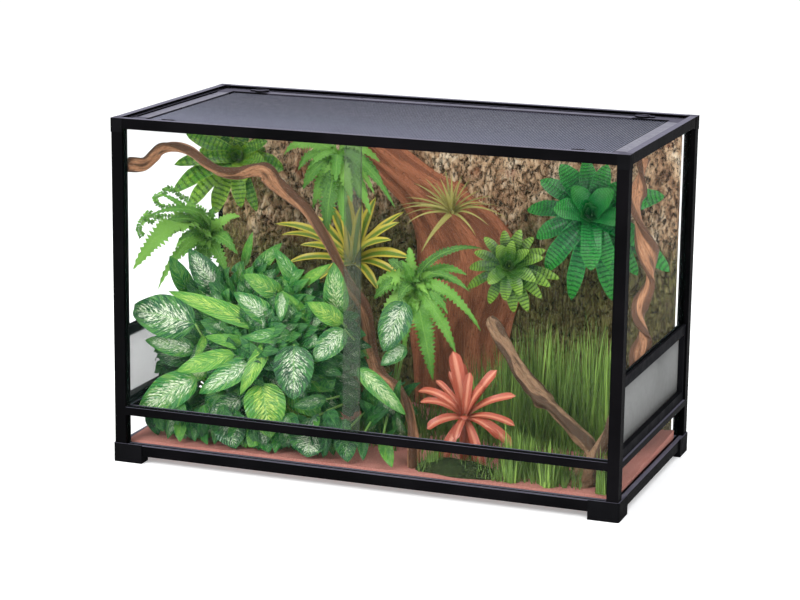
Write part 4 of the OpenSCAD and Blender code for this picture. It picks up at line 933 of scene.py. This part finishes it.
def make_colour_plants():
    bark_plant("yellow_bromeliad_leaves", YELLOW_BROM, 112, YELLOW_LEAVES, striped_leaf(
        "yellow_striped_leaf", rgb(226, 206, 74), rgb(104, 140, 46), rgb(120, 130, 40)),
        "leaf_yellow", ("yellow_bromeliad",), axis=(0.2, -0.7, 0.7), fold=0.4)
    coral = Skin()
    coral.tube(smooth_path([(150, -115, 30), (150, -115, 80), (150, -116, 118)], 4), 8, 10, 0.4)
    star(coral, CORAL_CROWN, -115, CORAL_LEAVES, (0.2, -0.6, 0.8), blunt)
    coral.object("coral_bromeliad_leaves",
                 striped_leaf("coral_striped_leaf", rgb(168, 80, 58), rgb(206, 132, 104), rgb(108, 46, 34), 0.3),
                 "leaf_coral", replaced=("coral_bromeliad",))
    bark_plant("air_plant_leaves", AIR_CROWN, 122, AIR_LEAVES, plain_leaf(
        "air_plant_leaf", rgb(104, 100, 44), rgb(158, 152, 76), rgb(204, 196, 122), 0.3, (0.5, 0.7)),
        "leaf_olive", ("air_plant",), axis=(0.1, -0.6, 0.8), shape=needle, cols=4)


# Fern leaves: tip px, tip py, width mm, mm forward of the crown, bow
HANGING_FRONDS = [
    (326, 232, 32, 45, 1.2), (395, 204, 17, 25, 1.6), (371, 212, 22, 30, 1.2), (303, 187, 26, 20, 1.2),
    (284, 152, 22, 10, 1), (313, 206, 24, 30, 1.2), (352, 200, 26, 45, 1.2), (382, 178, 17, 10, 1.2),
    (345, 224, 24, 40, 1), (298, 168, 20, 0, 1), (380, 160, 18, 0, 1), (336, 180, 24, 52, 1)]
MIDDLE_FRONDS = [
    (376, 283, 26, 20, 1.4), (374, 297, 30, 30, 1.4), (388, 258, 22, 5, 1), (409, 245, 20, 0, 0.8),
    (482, 244, 15, 10, 1.8), (467, 272, 20, 10, 1.2), (466, 286, 17, 15, 1.2), (481, 327, 20, 30, 1.6),
    (456, 350, 26, 40, 1.2), (433, 376, 32, 45, 1), (398, 338, 26, 45, 1.2), (382, 318, 26, 35, 1.4),
    (438, 252, 20, 0, 1), (404, 350, 22, 40, 1.2), (448, 312, 22, 40, 1.2), (398, 300, 26, 50, 1.2)]
SIDE_FRONDS = [
    (133, 264, 44, 50, 0.9), (240, 214, 20, 10, 1), (186, 198, 16, 20, 1.2), (160, 190, 15, 30, 1.6),
    (141, 214, 14, 35, 1.8), (162, 222, 15, 30, 1.4), (158, 286, 18, 30, 1.6), (200, 290, 26, 40, 1),
    (238, 252, 26, 35, 1), (214, 205, 22, 10, 0.8), (228, 276, 24, 40, 1), (176, 246, 24, 45, 1.2),
    (150, 250, 14, 20, 1.6), (222, 262, 20, 30, 0.8), (234, 240, 18, 20, 0.8), (206, 272, 22, 44, 1)]
SPRIGS = [
    [(209, 222), (203, 210), (191, 203), (181, 196), (171, 189), (163, 191)],
    [(207, 225), (196, 214), (183, 206), (168, 207), (158, 204), (156, 197), (165, 192)],
    [(204, 228), (190, 220), (175, 217), (161, 216), (151, 222), (146, 217), (150, 211)],
    [(202, 231), (186, 226), (168, 221), (154, 216), (144, 219), (139, 229), (142, 237)]]


def make_ferns():
    skin = Skin()
    for crown in (HANGING_FERN, MIDDLE_FERN):
        peg(skin, crown, 5)
    skin.tube(smooth_path([(-391, 20, 30), (-388, 10, 180), (-380, 4, 300), SIDE_FERN], 5), 4, 8, 0.2)
    for crown, tips in ((HANGING_FERN, HANGING_FRONDS), (MIDDLE_FERN, MIDDLE_FRONDS), (SIDE_FERN, SIDE_FRONDS)):
        for px, py, width, forward, bow in tips:
            tip = inside(px, py, crown[1] - forward)
            go = unit(tip - crown)
            frond(skin, crown, tip, width * 1.3, FERN_FACE - go * np.dot(FERN_FACE, go), 0.13 * bow)
        tips = np.array(tips)
        for k in range(16):
            one, two = tips[k % len(tips)], tips[(k * 5 + 3) % len(tips)]
            px, py = (one[:2] + two[:2]) / 2 + RNG.uniform(-6, 6, 2)
            tip = inside(px, py, crown[1] - RNG.uniform(15, 55))
            tip = crown + (tip - crown) * RNG.uniform(0.55, 0.9)
            frond(skin, crown, tip, RNG.uniform(15, 22), FERN_FACE, 0.16)
    for places in SPRIGS:
        sprig(skin, places)
    skin.object("fern_fronds",
                plain_leaf("fern_leaf", rgb(24, 68, 22), rgb(76, 136, 44), rgb(134, 184, 78), 0.2, (0.5, 0.7)),
                "leaf_green", replaced=("ferns",))


REED_CLUMPS = [  # x, y, height, spread of the tips, count
    (257.7, -182, 105, 26, 60), (319.7, -183, 85, 24, 50), (412.7, -185, 80, 11, 36), (118, -175, 58, 18, 34),
    (261.7, -120, 75, 24, 40), (140, 28, 150, 34, 80), (189.7, 22, 205, 40, 110), (234.7, 30, 235, 44, 120),
    (282.7, 24, 225, 42, 120), (329.7, 30, 240, 40, 120), (361.7, 18, 215, 18, 90)]
GRASS_BEDS = [  # x, y, half width, half depth, count, height
    (255, 20, 140, 18, 620, 170), (176, -178, 80, 16, 240, 34), (300, -160, 75, 26, 330, 45),
    (60, 30, 60, 20, 160, 80), (240, -60, 150, 60, 420, 40), (0, -40, 70, 60, 260, 60)]
MOUND, MOUND_WIDE, MOUND_DEEP, MOUND_TALL = (158, -177), 74, 22, 26


def make_mound():
    """A low dark cushion of moss behind the front strip."""
    a, r = np.linspace(0, math.tau, 49), np.linspace(1, 0, 13)
    A, R = np.meshgrid(a, r)
    lump = field(r, a, lambda q, p: (3 * p * math.cos(q), 3 * p * math.sin(q), 8))
    points = np.stack([MOUND[0] + MOUND_WIDE * R * np.cos(A), MOUND[1] + MOUND_DEEP * R * np.sin(A),
                       ground_z(MOUND[1]) - 2 + MOUND_TALL * np.sqrt(1 - R**2) * (1 + 0.25 * lump)], -1)
    skin = Skin()
    skin.grid(points, 1 - r, 0.0, np.clip(0.5 + lump, 0, 1))
    skin.object("moss_mound", moss_material(), "leaf_green")


def make_reeds():
    skin = Skin()
    for cx, cy, height, spread, count in REED_CLUMPS:
        for k in range(count):
            a, out = math.radians(k * GOLDEN), math.sqrt((k + 0.5) / count)
            foot = np.array([cx + 12 * out * math.cos(a), cy + 12 * out * math.sin(a), ground_z(cy) - 2])
            tall = height * (1 - 0.055 * ((k * 7) % 10)) * RNG.uniform(0.85, 1.02)
            tip = np.array([cx + spread * out * math.cos(a) * RNG.uniform(0.7, 1.1), cy + 15 * out * math.sin(a),
                            ground_z(cy) + tall])
            leaf(skin, foot, tip, RNG.uniform(2.4, 5.4), (RNG.uniform(-0.5, 0.5), -1, 0.1),
                 RNG.uniform(-0.05, 0.07), 0.4, rows=8, cols=2, shape=needle, roll=RNG.uniform(-1, 1), lean=0.6)
    for cx, cy, wide, deep, count, height in GRASS_BEDS:
        for _ in range(count):
            x, y = cx + RNG.uniform(-wide, wide), cy + RNG.uniform(-deep, deep)
            tall = height * RNG.uniform(0.4, 1.0)
            tip = (x + np.clip(RNG.normal(0, 0.22), -0.4, 0.4) * tall, y + RNG.uniform(-4, 4), ground_z(y) + tall)
            leaf(skin, (x, y, ground_z(y) - 2), tip, RNG.uniform(1.8, 3.4), (RNG.uniform(-0.5, 0.5), -1, 0.1),
                 RNG.uniform(-0.1, 0.1), 0.4, rows=6, cols=2, shade=RNG.uniform(0.0, 0.5), shape=needle, lean=0.6)
    skin.object("reed_blades",
                plain_leaf("reed_leaf", rgb(34, 48, 20), rgb(82, 118, 42), rgb(158, 194, 88), 0.2, (0.5, 0.7)),
                "leaf_green", replaced=("reeds",))


BUSH_ROOTS = [(-289.7, -110), (-170, -105), (-38, 20)]
# Leaves as a view of the photograph enlarged ENLARGED times from pixel CORNER shows them: base, tip and width
# in its pixels, depth of the middle in mm, how much cream, shade
CORNER, ENLARGED, MM_PER_PX = (105, 230), 5.315, 1.66
BUSH_LEAVES = [
    (480, 500, 130, 415, 235, -165, 1.0, 0.25), (480, 640, 212, 585, 115, -155, 1.0, 0.45),
    (490, 785, 178, 955, 190, -172, 1.0, 0.55), (605, 335, 445, 100, 150, -110, 1.0, 0.15),
    (455, 340, 343, 135, 105, -100, 0.1, 0.5), (740, 190, 785, 8, 50, -80, 0.0, 0.75),
    (790, 240, 942, 68, 85, -85, 0.5, 0.6), (1065, 350, 893, 88, 90, -100, 0.35, 0.55),
    (870, 525, 335, 325, 105, -140, 0.75, 0.8), (905, 490, 682, 330, 120, -150, 1.0, 0.5),
    (945, 325, 935, 485, 75, -150, 1.0, 0.5), (945, 355, 735, 235, 110, -125, 0.45, 0.7),
    (1035, 300, 1203, 180, 62, -110, 0.6, 0.8), (1235, 450, 1215, 170, 135, -120, 0.8, 0.6),
    (1060, 430, 1085, 610, 130, -120, 0.1, 0.3), (1275, 530, 1105, 700, 135, -150, 1.0, 0.4),
    (1005, 612, 1003, 905, 215, -178, 0.75, 0.1), (875, 585, 718, 875, 88, -172, 0.6, 0.85),
    (810, 685, 498, 870, 130, -172, 0.9, 0.5), (690, 660, 380, 750, 105, -176, 0.5, 0.8),
    (1005, 560, 735, 572, 85, -160, 0.3, 0.5), (690, 520, 555, 505, 80, -140, 0.9, 0.3),
    (545, 548, 478, 695, 48, -150, 0.5, 0.75), (815, 625, 530, 565, 78, -150, 0.15, 0.75),
    (835, 815, 880, 1105, 225, -176, 0.9, 0.75), (730, 890, 555, 985, 115, -165, 0.8, 0.2),
    (405, 990, 398, 1178, 72, -185, 0.15, 0.7), (482, 1010, 478, 1125, 55, -180, 0.3, 0.3),
    (650, 985, 695, 1215, 190, -184, 0.55, 0.15), (840, 1040, 765, 1155, 115, -182, 0.15, 0.7),
    (850, 1100, 872, 1235, 95, -184, 0.2, 0.3), (1095, 1070, 1075, 1280, 220, -184, 0.95, 0.2),
    (1275, 1075, 1290, 1285, 125, -184, 0.2, 0.2), (1475, 1110, 1525, 1305, 76, -184, 0.1, 0.8),
    (1370, 1090, 1372, 1225, 62, -182, 0.1, 0.3), (515, 1070, 545, 1190, 48, -180, 0.1, 0.4),
    (925, 1070, 903, 1212, 60, -182, 0.2, 0.4), (1590, 380, 1480, 645, 170, -130, 1.0, 0.3),
    (1600, 620, 1465, 720, 90, -135, 1.0, 0.4), (1345, 735, 1600, 985, 100, -140, 1.0, 0.6),
    (1175, 900, 1000, 940, 75, -160, 0.5, 0.3), (1180, 960, 1240, 1060, 85, -165, 0.1, 0.1),
    (1120, 990, 1130, 1060, 40, -175, 0.1, 0.6), (1262, 495, 1075, 385, 105, -135, 0.7, 0.85),
    (1105, 490, 938, 325, 62, -130, 0.2, 0.7), (880, 520, 1050, 440, 130, -125, 0.2, 0.4),
    (735, 305, 718, 175, 62, -95, 0.8, 0.6), (560, 420, 470, 360, 70, -120, 0.4, 0.5)]
FILL_LEAVES, FILL_CENTRE = 34, np.array([-251.7, -118, 150.0])
INNER_LEAVES, INNER_X, INNER_Y, INNER_WIDE, INNER_TALL = 330, 258, 352, 116, 100
LOW_LEAVES, LOW_FROM, LOW_TO = 84, 158, 352
SILL_PX, SILL_PY, SILL_FALL = 125.3, 414.4, 0.11  # where the sill's edge starts, and how far it falls per pixel
MIDDLE_LEAVES, MIDDLE_FROM, MIDDLE_TO = 90, (300, 388), (408, 438)


def stalk(stems, end):
    """A stem from the nearer root up to a leaf's base."""
    root = min(BUSH_ROOTS, key=lambda r: abs(r[0] - end[0]))
    foot = np.array([root[0], root[1], ground_z(root[1])])
    bend = (foot + end) / 2 + [0, 12, 30]
    stems.tube(smooth_path([foot, bend, end], 5), np.linspace(3.2, 1.7, 11), 6, 0.7)


def low_leaves(skin):
    """Leaves that hang behind the sill and below it."""
    for k in range(LOW_LEAVES):
        px = LOW_FROM + (LOW_TO - LOW_FROM) * (k + RNG.uniform(0, 1)) / LOW_LEAVES
        edge, y = SILL_PY + SILL_FALL * (px - SILL_PX), RNG.uniform(-188, -160)
        base = seen(px + RNG.uniform(-12, 12), edge - RNG.uniform(6, 22), y + 12)
        tip = seen(px + RNG.uniform(-5, 5), edge + RNG.uniform(4, 30), y)
        tip[2] = max(tip[2], 37)
        # Their shade values keep to the darker greens, as painted shade on leaves behind and below the sill.
        leaf(skin, base, tip, RNG.uniform(18, 34), (RNG.uniform(-0.2, 0.5), -0.85, 0.3), 0.08, 0.25, 0.12, 10, 4,
             RNG.uniform(0.0, 0.5), RNG.choice([0.1, 0.6], p=[0.7, 0.3]))


def middle_leaves(skin):
    """Dark leaves and blades low between the bush and the trunk: their darkness is painted shade."""
    for _ in range(MIDDLE_LEAVES):
        px, py = RNG.uniform(MIDDLE_FROM[0], MIDDLE_TO[0]), RNG.uniform(MIDDLE_FROM[1], MIDDLE_TO[1])
        y, lean = RNG.uniform(-120, -20), RNG.uniform(-14, 14)
        base, tip = seen(px + lean, py + 8, y + 10), seen(px - lean, py - RNG.uniform(8, 22), y - 6)
        base[2], tip[2] = max(base[2], 42), max(tip[2], 46)
        leaf(skin, base, tip, RNG.uniform(9, 24), (RNG.uniform(-0.4, 0.5), -0.85, 0.4), 0.12, 0.25, 0.1, 9, 4,
             RNG.uniform(0.0, 0.4), RNG.choice([0.0, 0.7], p=[0.8, 0.2]))


def seen_leaves(skin, stems):
    """The leaves that the photograph shows one by one."""
    for x0, y0, x1, y1, wide, depth, cream, shade in BUSH_LEAVES:
        base = seen(CORNER[0] + x0 / ENLARGED, CORNER[1] + y0 / ENLARGED, depth + 16)
        tip = seen(CORNER[0] + x1 / ENLARGED, CORNER[1] + y1 / ENLARGED, max(depth - 14, -197))
        tip[2] = max(tip[2], 38)
        leaf(skin, base, tip, wide / ENLARGED * MM_PER_PX * 1.05, (0.3, -0.85, 0.35), 0.07, 0.22, 0.1, 18, 8, shade,
             cream)
        stalk(stems, base)


def fill_leaves(skin, stems):
    """Leaves round the bush as a whole."""
    for k in range(FILL_LEAVES):
        up = 0.95 - 1.6 * k / (FILL_LEAVES - 1)
        out, a = math.sqrt(1 - up * up), math.radians(k * GOLDEN)
        across, ahead = out * math.cos(a), -abs(out * math.sin(a))
        droop = 45 * (1 - abs(across)) * (1 - max(up, 0))
        base = FILL_CENTRE + [100 * across, 18 * ahead, 85 * up + 8]
        tip = FILL_CENTRE + [170 * across, 34 * ahead, 165 * up - droop]
        tip[2] = max(tip[2], 46)
        leaf(skin, base, tip, 34 + 8 * (k % 3), (across * 0.4, -0.8, 0.5), 0.1, 0.25, 0.12, 14, 6,
             RNG.uniform(0.1, 0.8), RNG.choice([0.1, 0.6, 1.0]))
        stalk(stems, base)


def inner_leaves(skin, stems):
    """Darker leaves that close the bush behind those in front, as painted shade, with painted light on those higher
    up.
    """
    for k in range(INNER_LEAVES):
        out, a = math.sqrt((k + 0.5) / INNER_LEAVES), math.radians(k * GOLDEN)
        across, down = math.cos(a), math.sin(a)
        px, py = INNER_X + INNER_WIDE * out * across, INNER_Y + INNER_TALL * out * down
        span, y = RNG.uniform(20, 34), -150 + 75 * out**2 + RNG.uniform(-12, 12)
        tip = seen(px, py + 4, y - 12)
        base = seen(px - span * (across + RNG.uniform(-0.5, 0.5)), py - span * min(down, 0.5), y + 8)
        tip[2], base[2] = max(tip[2], 46), max(base[2], 56)
        # Leaves higher in the bush get a higher shade value, as painted light.
        high = max(0, -down) * out
        leaf(skin, base, tip, RNG.uniform(24, 40), (across * 0.4, -0.8, 0.5), 0.12, 0.25, 0.14, 11, 4,
             RNG.uniform(0.0, 0.35) + 0.4 * high * RNG.uniform(0, 1), RNG.choice([0.0, 0.35, 0.8], p=[0.6, 0.3, 0.1]))
        if k % 3 == 0:
            stalk(stems, base)


def make_bush():
    skin, stems = Skin(), Skin()
    for leaves in (seen_leaves, fill_leaves, inner_leaves):
        leaves(skin, stems)
    low_leaves(skin)
    middle_leaves(skin)
    skin.object("dieffenbachia_leaves", feathered_leaf(), "leaf_green", replaced=("dieffenbachia",))
    stems.object("dieffenbachia_stalks",
                 plain_leaf("stalk_green", rgb(40, 84, 34), rgb(84, 130, 54), rgb(140, 176, 92)), "leaf_green")


# ---------- floor and lights ----------

FLOOR_HALF, FLOOR_Z = 22000, -0.2
LAMPS_AIM = Vector((0, 0, 0.3))
LAMPS = [  # name, place and width in metres, watts
    ("key", (-1.8, -3.2, 2.6), 1.8, 150), ("fill", (2.6, -3.0, 1.6), 2.0, 45), ("top", (0.2, 0.3, 3.0), 2.4, 60)]


def make_floor():
    skin = Skin()
    x = np.linspace(-FLOOR_HALF, FLOOR_HALF, 12)
    X, Y = np.meshgrid(x, x)
    skin.grid(np.stack([X, Y, np.full_like(X, FLOOR_Z)], -1), x / 1000, 0.0)
    skin.object("floor", floor_paper(), None, body=None)


def area_light(name, place, size, watts):
    data = bpy.data.lights.new(name, "AREA")
    data.shape, data.size, data.energy = "SQUARE", size, watts
    obj = bpy.data.objects.new(name, data)
    obj.location = place
    obj.rotation_euler = (LAMPS_AIM - Vector(place)).to_track_quat("-Z", "Y").to_euler()
    bpy.context.scene.collection.objects.link(obj)


def make_lights():
    world = bpy.data.worlds.new("studio")
    world.use_nodes = True
    sky = world.node_tree.nodes["Background"]
    sky.inputs["Color"].default_value = (0.96, 0.98, 1.0, 1)
    sky.inputs["Strength"].default_value = 0.85
    bpy.context.scene.world = world
    for lamp in LAMPS:
        area_light(*lamp)
    bpy.context.scene.view_settings.view_transform = "Standard"


make_camera()
make_lights()
make_floor()
dress_frame()
make_screens()
make_bark(bark_material())
make_trunk(wood_material("trunk_wood", rgb(58, 30, 22), rgb(158, 94, 66), rgb(208, 136, 96), rgb(244, 186, 138),
                         0.24, 60, 0.5))
make_ground(soil_material())
make_driftwood()
make_bromeliads()
make_colour_plants()
make_ferns()
make_reeds()
make_mound()
make_bush()
